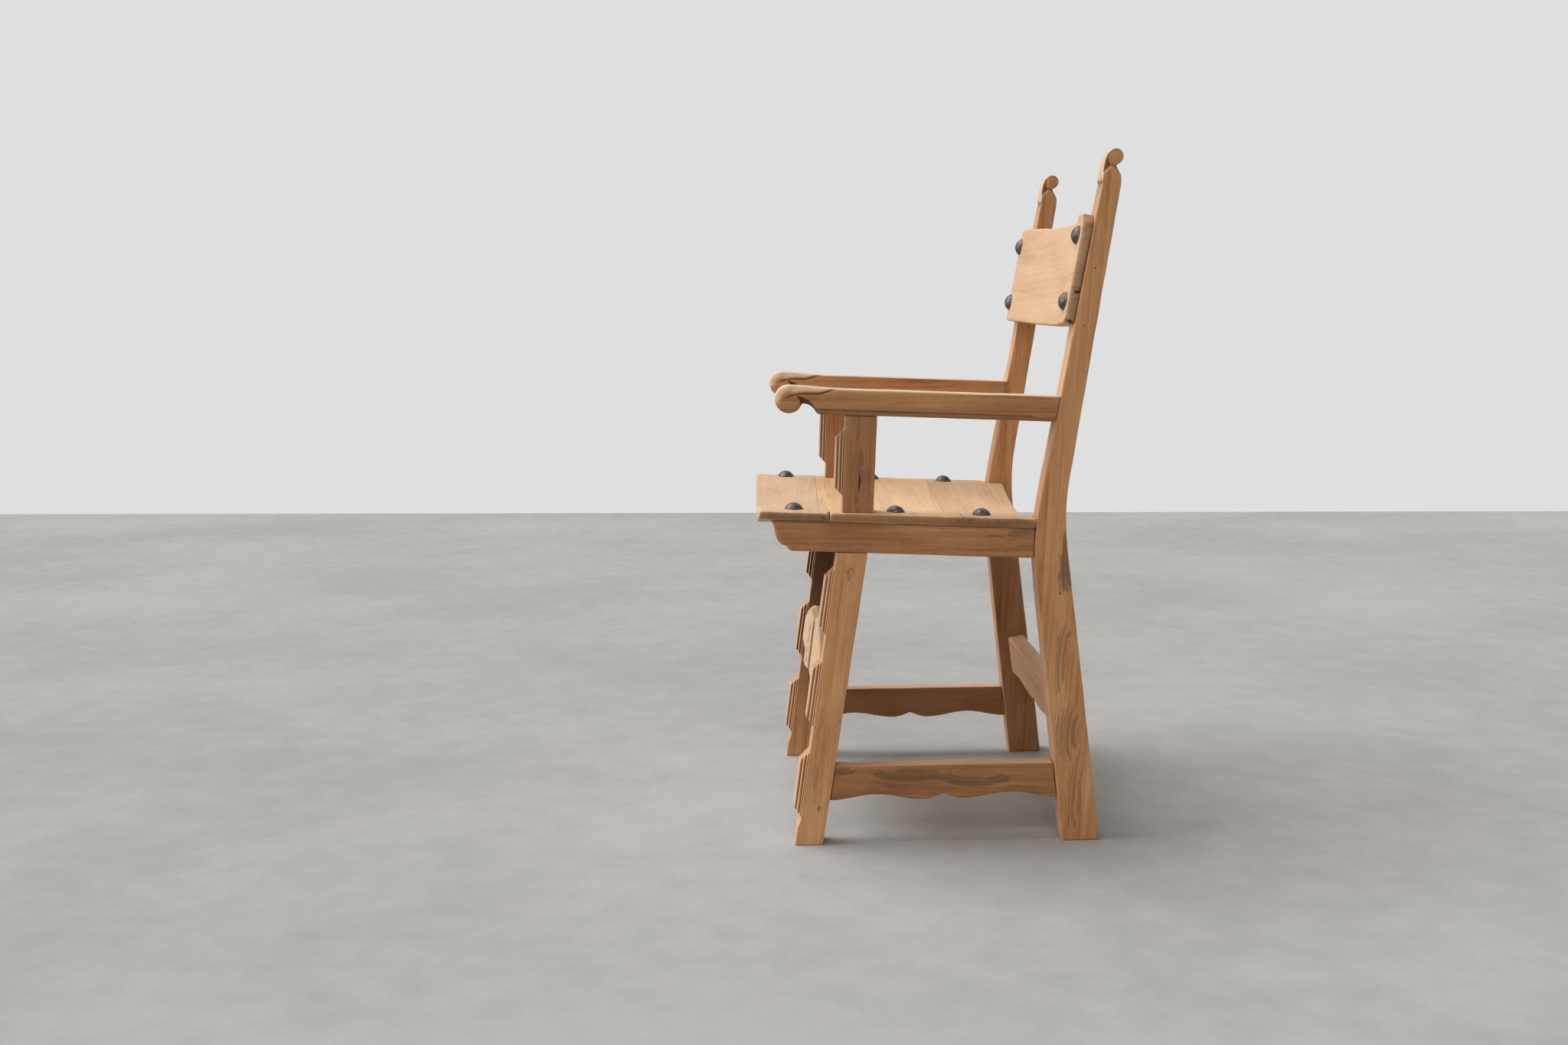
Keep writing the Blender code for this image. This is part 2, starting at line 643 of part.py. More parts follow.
def nail_profile(thickness, grow):
    """A dome head on a pointed shank, with its seat at z = 0. grow widens the shank into its hole."""
    sphere = (NAIL_RADIUS**2 + NAIL_DOME**2) / (2 * NAIL_DOME)
    reach = math.asin(NAIL_RADIUS / sphere)
    length = thickness + NAIL_BITE
    rings = [reach * t for t in spread(0.0, 1.0, 7)]
    profile = [(sphere * math.sin(a), NAIL_DOME - sphere * (1.0 - math.cos(a))) for a in rings]
    shank = NAIL_SHANK + grow
    if grow:
        profile = [(0.0, NAIL_DOME), (shank, NAIL_DOME)]
    else:
        profile.append((shank, 0.0))
    return profile + [(shank, NAIL_POINT - length - grow), (0.0, -length - grow)]


def nail(name, place, thickness, receivers):
    """A dome nail set by a matrix, with its hole through the pieces that it holds."""
    piece = turned(name, nail_profile(thickness, 0.0))
    piece.data.shade_smooth()
    piece.data.set_sharp_from_angle(angle=math.radians(40))
    piece.matrix_world = place
    for receiver in receivers:
        hole = turned(f"{receiver.name}_{name}_hole", nail_profile(thickness, CLEARANCE))
        hole.matrix_world = place
        change(receiver, hole, "DIFFERENCE")
    return piece


def seat_nails(side, hand, planks, rail):
    edges = (SEAT_FRONT,) + SEAT_JOINTS
    places = {
        "front": (edges[0] + edges[1]) / 2,
        "middle": (edges[1] + edges[2]) / 2,
        "rear": edges[2] + SEAT_NAIL_REAR,
    }
    turn = Matrix.Rotation(-SEAT_PITCH, 4, "X")
    nails = []
    for label, d in places.items():
        spot = Matrix.Translation((side * (HALF_WIDTH - SEAT_NAIL_INSET), *at(SEAT, d, CLEARANCE)))
        holds = [planks[f"seat_plank_{label}"], rail]
        nails.append(nail(f"seat_nail_{label}_{hand}", spot @ turn, SEAT_THICKNESS, holds))
    return nails


def back_nails(side, hand, planks, post):
    heights = {
        "lower": BACK_BOTTOM + BACK_NAIL_MARGINS[0],
        "upper": BACK_BOTTOM + BACK_HEIGHT - BACK_NAIL_MARGINS[1],
    }
    turn = Matrix.Rotation(math.pi / 2 - BACK_LEAN, 4, "X")
    nails = []
    for label, h in heights.items():
        spot = Matrix.Translation((side * JOINT_X, *at(BACK, -BACK_THICKNESS - 2 * CLEARANCE, h)))
        holds = [planks[f"back_plank_{label}"], post]
        nails.append(nail(f"back_nail_{label}_{hand}", spot @ turn, BACK_THICKNESS, holds))
    return nails


def paint(piece, colour, roughness, metallic):
    """Gives a piece a material of its own."""
    material = bpy.data.materials.new(f"{piece.name}_material")
    material.use_nodes = True
    shader = material.node_tree.nodes["Principled BSDF"]
    shader.inputs["Base Color"].default_value = (*colour, 1.0)
    shader.inputs["Roughness"].default_value = roughness
    shader.inputs["Metallic"].default_value = metallic
    material.diffuse_color = (*colour, 1.0)
    piece.data.materials.append(material)


def main():
    clear_scene()
    seat = seat_planks()
    back = back_planks()
    frame, nails, posts, legs = [], [], {}, {}
    for side, hand in ((1, "left"), (-1, "right")):
        post = rear_post(f"rear_post_{hand}", side)
        rail = side_rail(f"side_rail_{hand}", side, post)
        leg = front_leg(f"front_leg_{hand}", side, rail)
        rest = arm(f"arm_{hand}", side, post)
        support = arm_post(f"arm_post_{hand}", side, rest, [*seat.values(), rail])
        stretcher = side_stretcher(f"side_stretcher_{hand}", side, leg, post)
        nails += seat_nails(side, hand, seat, rail)
        nails += back_nails(side, hand, back, post)
        frame += [post, rail, leg, rest, support, stretcher]
        posts[side] = post
        legs[side] = leg
    frame += [rear_stretcher(posts), front_stretcher(legs)]
    for piece in frame:
        paint(piece, FRAME_COLOUR, 0.55, 0.0)
    for piece in (*seat.values(), *back.values()):
        paint(piece, PLANK_COLOUR, 0.55, 0.0)
    for piece in nails:
        paint(piece, IRON_COLOUR, 0.40, 0.9)


main()
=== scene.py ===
"""The looks of a carved wooden armchair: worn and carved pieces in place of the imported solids, in a plain studio.

Lengths are in metres. A place (d, h) is how far behind and how far up a leaning plane a point is.
"""

import math

import bpy
import numpy as np
from mathutils import Matrix, Vector


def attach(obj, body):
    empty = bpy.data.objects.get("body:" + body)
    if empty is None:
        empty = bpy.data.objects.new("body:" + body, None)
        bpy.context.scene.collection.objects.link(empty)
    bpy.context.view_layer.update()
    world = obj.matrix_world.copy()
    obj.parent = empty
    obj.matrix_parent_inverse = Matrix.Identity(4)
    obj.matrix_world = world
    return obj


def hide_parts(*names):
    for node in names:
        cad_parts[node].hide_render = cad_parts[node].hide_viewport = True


def colour(r, g, b):
    return (r, g, b, 1.0)


# Slopes of the solids: (y, z, lean) of a plane's foot, in metres and radians
SEAT = (0.0, 0.473, math.radians(2.65))
LEG_FACE = (-0.2066, 0.0, math.radians(8.30))
BACK = (0.131, 0.435, math.radians(10.85))
SHIN_LEAN = math.radians(-6.39)
POST_X = 0.265  # middle of legs, posts and arms
ARM_POST_AHEAD = 0.1374  # front of the arm posts, along the seat
ARM_FACE = (SEAT[0] - ARM_POST_AHEAD * math.cos(SEAT[2]), SEAT[1] + ARM_POST_AHEAD * math.sin(SEAT[2]), SEAT[2])

# How fine the even meshes are.
PLANK_VOXEL = 0.0015
PLANK_FACES = 22000

# Panels on the front legs and arm posts
PANEL_GROOVES = (0.0008, 0.0034, 0.0082)  # reach of the V cuts between the reeds
PANEL_REEDS = (0.0021, 0.0071, 0.0115)  # reach of the pale reeds
PANEL_FLATS = (0.0050, 0.0095)  # reach of the brown flats
GROOVE_WIDTH, GROOVE_DEPTH = 0.0007, 0.0014
REED_WIDTH, FLAT_WIDTH = 0.0010, 0.0009
HIP_DEPTH, HIP_OFFSET, HIP_HALF = 0.0024, 0.0085, 0.0075  # the two gouge cuts above a panel
LEG_PANELS = (0.0425, 0.1755, 0.3085)
ARM_PANELS = (0.0235,)
PANEL_LENGTH = 0.094

# Arm scroll, in the seat's plane
ARM_LEAF = (
    (-0.1459, 0.1737),
    (-0.1533, 0.1722),
    (-0.1617, 0.1700),
    (-0.1702, 0.1674),
    (-0.1765, 0.1658),
    (-0.1851, 0.1655),
    (-0.1936, 0.1656),
    (-0.2021, 0.1648),
    (-0.2095, 0.1632),
    (-0.2148, 0.1619),
    (-0.2190, 0.1600),
    (-0.2216, 0.1578),
)
ARM_EYE = (-0.2123, 0.1511)
ARM_EYE_RADIUS = 0.0109
ARM_COVE = (
    (-0.2090, 0.1630),
    (-0.2020, 0.1616),
    (-0.1923, 0.1587),
    (-0.1868, 0.1551),
    (-0.1813, 0.1489),
    (-0.1765, 0.1410),
)
ARM_COVE_FOOT = ((-0.1720, 0.1340), (-0.1900, 0.1340), (-0.2000, 0.1400))
ARM_SCROLL = (-0.2175, 0.1565)
ARM_GROOVE_HEIGHT = 0.1437
ARM_GROOVE = (-0.181, 0.128)
ARM_HALF = 0.022  # half the width that the cuts below are taken from
LEAF_LINE_DEPTH, LEAF_LINE_WIDTH = 0.0026, 0.0010
LEAF_UNDERCUT, LEAF_UNDERCUT_FADE = 0.0023, 0.0075
COVE_WALL, COVE_SLOPE, COVE_DEPTH = 0.0040, 0.45, 0.0075
EYE_DISH = 0.0012
LEAF_ROUND, LEAF_ROUND_REACH, SCROLL_FLAT = 0.42, 0.0110, 0.0085
ARM_GROOVE_DEPTH, ARM_GROOVE_WIDTH = 0.0012, 0.0010

# Finial on the rear posts: places are (y, z)
FINIAL_EYE = (0.2464, 0.9663)
FINIAL_EYE_RADIUS = 0.0104
FINIAL_PEAK = (0.2398, 0.9559)
FINIAL_RECESS = (
    (0.2378, 0.9766),
    (0.2338, 0.9721),
    (0.2312, 0.9669),
    (0.2292, 0.9612),
    (0.2277, 0.9547),
    (0.2267, 0.9482),
    (0.2263, 0.9417),
    FINIAL_PEAK,
    (0.2371, 0.9600),
    (0.2363, 0.9663),
    (0.2378, 0.9725),
)
FINIAL_SLIVER = ((0.2424, 0.9548), (0.2500, 0.9545), (0.2540, 0.9450), (0.2490, 0.9450))
FINIAL_SEAM = (FINIAL_PEAK, (0.2440, 0.9549), (0.2500, 0.9530))
FINIAL_LEAF_FOOT = 0.9340
FINIAL_BOTTOM = 0.925  # nothing is carved on a post below this
FINIAL_HALF = 0.021  # half the width that the cuts below are taken from
RECESS_DEPTH, PIT_DEPTH, PIT_RADIUS = 0.0034, 0.0016, 0.0026
SLIVER_DEPTH, SEAM_DEPTH, SEAM_WIDTH = 0.0030, 0.0024, 0.0011
FINIAL_DISH = 0.0014
LEAF_FOOT_DEPTH, LEAF_FOOT_FADE = 0.0024, 0.014
NOTCH_HEIGHT, NOTCH_OFFSET, NOTCH_HALF = 0.0060, 0.0085, 0.0055
LEAF_VEIN_DEPTH, LEAF_VEIN_WIDTH = 0.0008, 0.0014

# Front stretcher, in the front legs' plane
ARCH_HALF = 0.2447
ARCH_LOW = 0.2083
ARCH_END = 0.039
ARCH_RISE = 0.0495
ARCH_ROLL, ARCH_ROLL_DEPTH = 0.0075, 0.0034
BOSS_HALF = 0.045
BOSS_CROWN, BOSS_PROUD = 0.0036, 0.0006
BOSS_WALL_DEPTH, BOSS_WALL_WIDTH = 0.0016, 0.0018

# Back board
EAR_WIDTH = 0.013
EAR_DROP = 0.014
BOARD_LAP = 0.0045  # how far each board runs past the joint, so that no seam shows

# Nails
NAIL_RADIUS = 0.0134
NAIL_DOME = 0.0090
NAIL_RIM = 0.0006
NAIL_DENTS, NAIL_DENT_SIZE = 0.020, 0.008
NAIL_SIDES = 40
SHANK_RADII = (0.0025, 0.0024, 0.0004)  # under the head, above the point and at the tip
POINT_LENGTH, TIP_LENGTH = 0.006, 0.0002

# Wood and iron
FRAME_TONES = (colour(0.40, 0.168, 0.062), colour(0.59, 0.288, 0.122), colour(0.70, 0.385, 0.186))
PLANK_TONES = (colour(0.56, 0.330, 0.175), colour(0.70, 0.445, 0.255), colour(0.79, 0.545, 0.335))
GREY_TONES = (colour(0.53, 0.335, 0.190), colour(0.665, 0.450, 0.280), colour(0.75, 0.550, 0.365))
GOLDEN_TONES = (colour(0.66, 0.392, 0.195), colour(0.83, 0.532, 0.286), colour(0.92, 0.636, 0.370))
OWN_TONES = {"seat_plank_front": GREY_TONES, "seat_plank_middle": GOLDEN_TONES}
# Painted light on faces that face up or ahead, and the paler rubbed arrises.
PALE = colour(0.77, 0.530, 0.340)
STREAK = colour(0.130, 0.070, 0.036)
CRACK = colour(0.018, 0.012, 0.009)
END_GRAIN = colour(0.38, 0.30, 0.235)
# Painted highlight on carved faces that face the light.
PAINTED_HIGHLIGHT = colour(0.80, 0.60, 0.42)
# Grime in creases, and painted shade in hollows, cuts and under the seat.
GRIME_AND_SHADE = colour(0.050, 0.024, 0.012)
IRON_DARK = colour(0.062, 0.054, 0.048)
IRON_WORN = colour(0.150, 0.130, 0.112)
IRON_RUST = colour(0.11, 0.062, 0.034)
STAIN_DRIFT = (0.024, 0.024, 0.070)  # how far noise moves the edges of stains, and of cracks and knots
CRACK_DRIFT = (0.004, 0.004, 0.010)
# How much painted light goes on faces that face forward, and on faces that face up.
PAINTED_LIGHT_AHEAD = 0.36
FRAME_PAINTED_LIGHT, PLANK_PAINTED_LIGHT = 0.75, 0.32
FRAME_PITH = ((0.02, 0.06), (0.09, 0.16))  # how far the middle of the log is off the middle of a piece
QUARTER_PITH = ((0.15, 0.24), (0.02, 0.05))

# Marks of single pieces: (centre, radii, lift, stain)
POST_MARKS = {
    "left": (
        ((0.287, 0.183, 0.412), (0.022, 0.017, 0.058), 0.012, 1.00),
        ((0.287, 0.185, 0.408), (0.022, 0.020, 0.060), 0.0, 0.85),
        ((0.287, 0.217, 0.866), (0.020, 0.006, 0.055), 0.0, 0.22),
        ((0.287, 0.150, 0.565), (0.020, 0.006, 0.045), 0.0, 0.70),
        ((0.285, 0.174, 0.265), (0.018, 0.014, 0.060), 0.007, 0.45),
        ((0.285, 0.182, 0.160), (0.020, 0.020, 0.046), 0.006, 0.48),
        ((0.285, 0.192, 0.070), (0.020, 0.012, 0.070), 0.005, 0.06),
        ((0.285, 0.2173, 0.8142), (0.003, 0.0013, 0.0016), 0.0, 1.5),
        ((0.285, 0.2028, 0.7373), (0.003, 0.0013, 0.0016), 0.0, 1.5),
        ((0.285, 0.1702, 0.3608), (0.003, 0.0014, 0.0018), 0.0, 1.5),
    ),
    "right": (((-0.285, 0.185, 0.300), (0.018, 0.014, 0.070), 0.010, 0.45),),
}
LEG_MARKS = {
    "left": (
        ((0.285, -0.1272, 0.392), (0.014, 0.009, 0.014), 0.010, 0.45),
        ((0.285, -0.1742, 0.053), (0.012, 0.006, 0.008), 0.008, 0.85),
        ((0.285, -0.1740, 0.145), (0.012, 0.008, 0.075), 0.009, 0.22),
    ),
    "right": (((-0.285, -0.150, 0.240), (0.012, 0.008, 0.030), 0.009, 0.5),),
}
RAIL_MARKS = {
    "left": (
        ((0.285, 0.122, 0.4470), (0.014, 0.0300, 0.030), 0.003, 0.42),
        ((0.285, 0.095, 0.4400), (0.012, 0.0030, 0.030), 0.002, 0.40),
        ((0.285, 0.046, 0.4430), (0.012, 0.0022, 0.024), 0.0, 0.40),
        ((0.285, 0.079, 0.4265), (0.012, 0.0018, 0.020), 0.0, 0.40),
        ((0.285, -0.060, 0.4360), (0.012, 0.0045, 0.007), 0.005, 0.35),
    ),
}
ARM_POST_MARKS = {
    "left": (
        ((0.283, -0.1130, 0.5350), (0.012, 0.008, 0.060), 0.010, 0.35),
        ((0.283, -0.1119, 0.5217), (0.010, 0.0016, 0.016), 0.0, 1.6),
        ((0.283, -0.1142, 0.5055), (0.010, 0.0040, 0.010), 0.0, 0.9),
        ((0.283, -0.1005, 0.5290), (0.010, 0.0100, 0.006), 0.0, 0.55),
    ),
}
STRETCHER_MARKS = {
    "left": (
        ((0.280, 0.045, 0.0920), (0.016, 0.0200, 0.060), 0.006, 0.42),
        ((0.280, 0.083, 0.0930), (0.016, 0.0090, 0.026), 0.0, 0.60),
        ((0.280, 0.112, 0.0780), (0.012, 0.0030, 0.004), 0.0, 0.80),
        ((0.280, -0.050, 0.0960), (0.016, 0.0160, 0.060), 0.005, 0.45),
        ((0.280, -0.140, 0.1080), (0.016, 0.0140, 0.020), 0.003, 0.55),
    ),
}
END_CHECKS = (-0.238, -0.234, -0.229, -0.220, -0.2165, -0.2125, -0.2075, -0.1990, -0.1930)
PLANK_MARKS = {
    "seat_plank_front": (
        ((0.290, -0.1590, 0.4735), (0.0075, 0.0065, 0.012), 0.0, 1.0),
        *(
            ((0.290, y, 0.4740 + 0.0012 * (n % 2)), (0.0013 - 0.0003 * (n % 3), 0.0009, 0.006), 0.0, 1.2)
            for n, y in enumerate(END_CHECKS)
        ),
    ),
    "seat_plank_middle": (((0.290, 0.030, 0.4700), (0.012, 0.0120, 0.010), 0.0, 0.55),),
    "seat_plank_rear": (
        ((0.290, 0.042, 0.4690), (0.016, 0.0140, 0.014), 0.0, 0.60),
        ((0.290, 0.105, 0.4680), (0.020, 0.0030, 0.012), 0.0, 0.70),
        ((0.210, 0.118, 0.4640), (0.030, 0.0300, 0.085), 0.014, 0.30),
        ((0.120, 0.070, 0.4600), (0.018, 0.0300, 0.050), 0.008, 0.22),
    ),
    "back_plank_lower": (
        ((0.284, 0.1815, 0.7395), (0.009, 0.0075, 0.0065), 0.0, 1.2),
        ((0.285, 0.1930, 0.7825), (0.0075, 0.0018, 0.010), 0.0, 1.1),
        ((0.285, 0.1880, 0.7760), (0.0014, 0.0050, 0.010), 0.0, 0.9),
    ),
}
# Splits, chips and dents at the near ends of the boards: (centre, radii, push)
DENTS = {
    "seat_plank_front": (((0.290, -0.1520, 0.478), (0.018, 0.0080, 0.018), (0.0, -0.0055, 0.0)),),
    "seat_plank_middle": (((0.290, -0.1545, 0.482), (0.012, 0.0060, 0.010), (0.0, 0.0018, -0.0010)),),
    "back_plank_lower": (
        ((0.286, 0.179, 0.7385), (0.011, 0.011, 0.010), (-0.0040, 0.0035, 0.0040)),
        ((0.285, 0.194, 0.7830), (0.008, 0.008, 0.005), (-0.0030, 0.0, -0.0020)),
    ),
    "back_plank_upper": (((0.285, 0.192, 0.7860), (0.008, 0.008, 0.005), (-0.0030, 0.0, 0.0015)),),
}

# Studio
WALL_FOOT = ((-4.363, -3.196), (-3.638, 2.673))  # two places where the floor ends, as the photograph shows
WALL_STRETCH = 5.0
FLOOR_REACH = 30.0
FLOOR_TONES = (colour(0.392, 0.393, 0.390), colour(0.472, 0.474, 0.472))
WALL_SEEN = colour(0.74, 0.74, 0.745)
WALL_LIGHT, WALL_STRENGTH = colour(1.0, 0.80, 0.62), 0.15
# name, direction towards the lamp, spread in degrees, strength
LAMPS = (
    ("overhead", (-0.20, -0.40, 0.89), 46.0, 2.20),
    ("front", (-0.04, -0.94, 0.34), 40.0, 1.16),
    ("side", (0.78, -0.18, 0.58), 40.0, 0.80),
)
CAMERA_PLACE = (2.8433, -0.2701, 0.7686)
CAMERA_TURN = (1.144, 6.726, -0.777)  # yaw, pitch and roll in degrees
CAMERA_LENS, CAMERA_SENSOR = 42.14, 36.0


def smooth(value, low, high):
    """0 below low, 1 above high, with an easy curve between."""
    t = np.clip((value - low) / (high - low), 0.0, 1.0)
    return t * t * (3.0 - 2.0 * t)


def fade(value, low, high):
    """1 below low, 0 above high, with an easy curve between."""
    return 1.0 - smooth(value, low, high)


def bell(value, width):
    """1 at zero, falling off on both sides."""
    return np.exp(-((value / width) ** 2))


def on_plane(points, plane):
    """How far behind and how far up a leaning plane the points are."""
    y, z, lean = plane
    dy, dz = points[:, 1] - y, points[:, 2] - z
    return dy * math.cos(lean) - dz * math.sin(lean), dy * math.sin(lean) + dz * math.cos(lean)


def plane_axes(plane):
    """Unit vectors rearward and up in a leaning plane."""
    lean = plane[2]
    rearward = np.array((0.0, math.cos(lean), -math.sin(lean)))
    upward = np.array((0.0, math.sin(lean), math.cos(lean)))
    return rearward, upward


def ripple(points, seed, wavelength):
    """A smooth random number for each point, mostly between -1 and 1."""
    waves = 7
    draw = np.random.default_rng(seed)
    total = np.zeros(len(points))
    for _ in range(waves):
        direction = draw.normal(size=3)
        direction *= draw.uniform(0.6, 1.7) * 2 * math.pi / wavelength / np.linalg.norm(direction)
        total += np.sin(points @ direction + draw.uniform(0, 2 * math.pi))
    return total / math.sqrt(waves)


def line_distance(d, h, line):
    """Distance to a polyline, and the share of its length where the nearest point is."""
    best = np.full(len(d), np.inf)
    share = np.zeros(len(d))
    runs = list(zip(line, line[1:]))
    for i, ((d0, h0), (d1, h1)) in enumerate(runs):
        length = (d1 - d0) ** 2 + (h1 - h0) ** 2
        t = np.clip(((d - d0) * (d1 - d0) + (h - h0) * (h1 - h0)) / length, 0.0, 1.0)
        away = np.hypot(d - d0 - t * (d1 - d0), h - h0 - t * (h1 - h0))
        nearer = away < best
        best = np.where(nearer, away, best)
        share = np.where(nearer, (i + t) / len(runs), share)
    return best, share


def eased(line, rounds=3):
    """A polyline with its corners cut off, some times over."""
    for _ in range(rounds):
        cut = [line[0]]
        for (d0, h0), (d1, h1) in zip(line, line[1:]):
            cut.append((0.75 * d0 + 0.25 * d1, 0.75 * h0 + 0.25 * h1))
            cut.append((0.25 * d0 + 0.75 * d1, 0.25 * h0 + 0.75 * h1))
        line = tuple(cut + [line[-1]])
    return line


def within(d, h, outline):
    """Whether each point is inside a closed outline."""
    inside = np.zeros(len(d), bool)
    for (d0, h0), (d1, h1) in zip(outline, outline[1:] + outline[:1]):
        if h0 != h1:
            inside ^= ((h0 > h) != (h1 > h)) & (d < d0 + (h - h0) * (d1 - d0) / (h1 - h0))
    return inside


def pocket(d, h, outline, wall):
    """0 outside an outline, rising to 1 inside it over the width of its wall."""
    away, _ = line_distance(d, h, outline + outline[:1])
    return smooth(away, 0.0, wall) * within(d, h, outline)


class Surface:
    """An even mesh of quads as arrays.

    The array of painted shading: painted shade above 0, painted highlight below. plain: where no arris is rubbed
    and no crease gets grime and painted shade.
    """

    def __init__(self, points, quads):
        self.points, self.quads = points, quads
        self.painted_shading = np.zeros(len(points))
        self.plain = np.zeros(len(points))
        pairs = np.concatenate([quads[:, [i, (i + 1) % 4]] for i in range(4)])
        self.edges = np.unique(np.sort(pairs, axis=1), axis=0)
        self.degree = np.maximum(np.bincount(self.edges.ravel(), minlength=len(points)), 1)

    def smoothed(self, rounds):
        """The points after each has moved half way to the middle of its neighbours, some times over."""
        a, b = self.edges.T
        points = self.points
        for _ in range(rounds):
            middle = np.empty_like(points)
            for axis in range(3):
                total = np.bincount(a, points[b, axis], len(points))
                total += np.bincount(b, points[a, axis], len(points))
                middle[:, axis] = total / self.degree
            points = (points + middle) / 2
        return points

    def normals(self):
        a, b, c, d = (self.points[self.quads[:, i]] for i in range(4))
        across = np.cross(c - a, d - b)
        normals = np.empty_like(self.points)
        for axis in range(3):
            total = np.bincount(self.quads.ravel(), np.repeat(across[:, axis], 4), len(self.points))
            normals[:, axis] = total
        return normals / np.maximum(np.linalg.norm(normals, axis=1, keepdims=True), 1e-12)

    def narrowed(self, half, depth):
        """Carves both sides of a leg, post or arm: depth off each side of its half width, at every point."""
        middle = math.copysign(POST_X, self.points[:, 0].mean())
        self.points[:, 0] = middle + (self.points[:, 0] - middle) * (1.0 - np.minimum(depth, half) / half)

    def mirrored(self):
        return Surface(self.points * (-1.0, 1.0, 1.0), self.quads[:, ::-1])


def evaluated(item):
    """The item's mesh with its modifiers applied. The item is removed."""
    graph = bpy.context.evaluated_depsgraph_get()
    mesh = bpy.data.meshes.new_from_object(item.evaluated_get(graph))
    bpy.data.objects.remove(item)
    return mesh


def link(name, data):
    item = bpy.data.objects.new(name, data)
    bpy.context.scene.collection.objects.link(item)
    return item


def mesh_points(mesh):
    points = np.empty(len(mesh.vertices) * 3)
    mesh.vertices.foreach_get("co", points)
    return points.reshape(-1, 3)


def remeshed(node, voxel, turn):
    """A node's surface as an even mesh, made in a frame turned about X so that its edges follow the grid."""
    helper = link("helper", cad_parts[node].data.copy())
    helper.data.transform(turn)
    weld = helper.modifiers.new("weld", "WELD")
    weld.merge_threshold = 1e-6
    even = helper.modifiers.new("even", "REMESH")
    even.mode = "VOXEL"
    even.voxel_size = voxel * 1.0
    mesh = evaluated(helper)
    mesh.transform(turn.inverted())
    points = mesh_points(mesh)
    corners = np.empty(len(mesh.loops), np.int32)
    mesh.loops.foreach_get("vertex_index", corners)
    bpy.data.meshes.remove(mesh)
    return Surface(points, corners.reshape(-1, 4))


def dented(surface, dents):
    """Pushes the points inside each ellipsoid: (centre, radii, push)."""
    for centre, radii, push in dents:
        q = (((surface.points - centre) / radii) ** 2).sum(axis=1)
        surface.points = surface.points + np.array(push) * (np.clip(1.0 - q, 0.0, 1.0) ** 2)[:, None]


def worn(surface, seed, soft, wobble=0.00022, keep=0.0):
    """Rounds the arrises by uneven amounts, and makes flat faces slightly uneven. keep holds points back."""
    crisp, blunt = surface.smoothed(soft), surface.smoothed(4 * soft + 4)
    share = np.clip(0.40 + 0.40 * ripple(crisp, seed, 0.10), 0.0, 1.0)[:, None]
    points = crisp + (blunt - crisp) * share
    uneven = wobble * ripple(points, seed + 1, 0.08) + wobble / 4 * ripple(points, seed + 2, 0.02)
    points += Surface(points, surface.quads).normals() * uneven[:, None]
    surface.points = points + (surface.points - points) * np.reshape(keep, (-1, 1))


def shaded_inside(surface, low, high, share):
    """Painted shade on the inner face of a left or right piece, under the seat, growing from one height to another.
    """
    inward = -math.copysign(1.0, surface.points[:, 0].mean()) * surface.normals()[:, 0]
    surface.painted_shading = surface.painted_shading + share * smooth(inward, 0.5, 0.9) * smooth(surface.points[:, 2], low, high)


def finished(name, surface, grain, origin, faces, node):
    """The piece's object, with its grain coordinates and its hollows and arrises stored for the material."""
    spread = surface.smoothed(16)
    normals = surface.normals()
    arris = ((surface.points - spread) * normals).sum(axis=1) * 1000.0 * (1.0 - surface.plain)
    mesh = bpy.data.meshes.new(name)
    mesh.from_pydata(surface.points, [], surface.quads)
    # The third value is the painted shading: painted shade and painted highlight.
    values = {"arris": arris, "ends": np.abs(normals @ grain[2]), "painted_shading": surface.painted_shading}
    for key, value in values.items():
        mesh.attributes.new(key, "FLOAT", "POINT").data.foreach_set("value", value)
    item = link(name, mesh)
    fewer = item.modifiers.new("fewer", "DECIMATE")
    fewer.ratio = min(1.0, faces / (2.0 * len(surface.quads)))
    mesh = evaluated(item)
    mesh.name = name
    along = (mesh_points(mesh) - origin) @ np.array(grain).T
    mesh.attributes.new("grain", "FLOAT_VECTOR", "POINT").data.foreach_set("vector", along.ravel())
    mesh.shade_smooth()
    item = link(name, mesh)
    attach(item, "root")
    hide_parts(node)
    return item


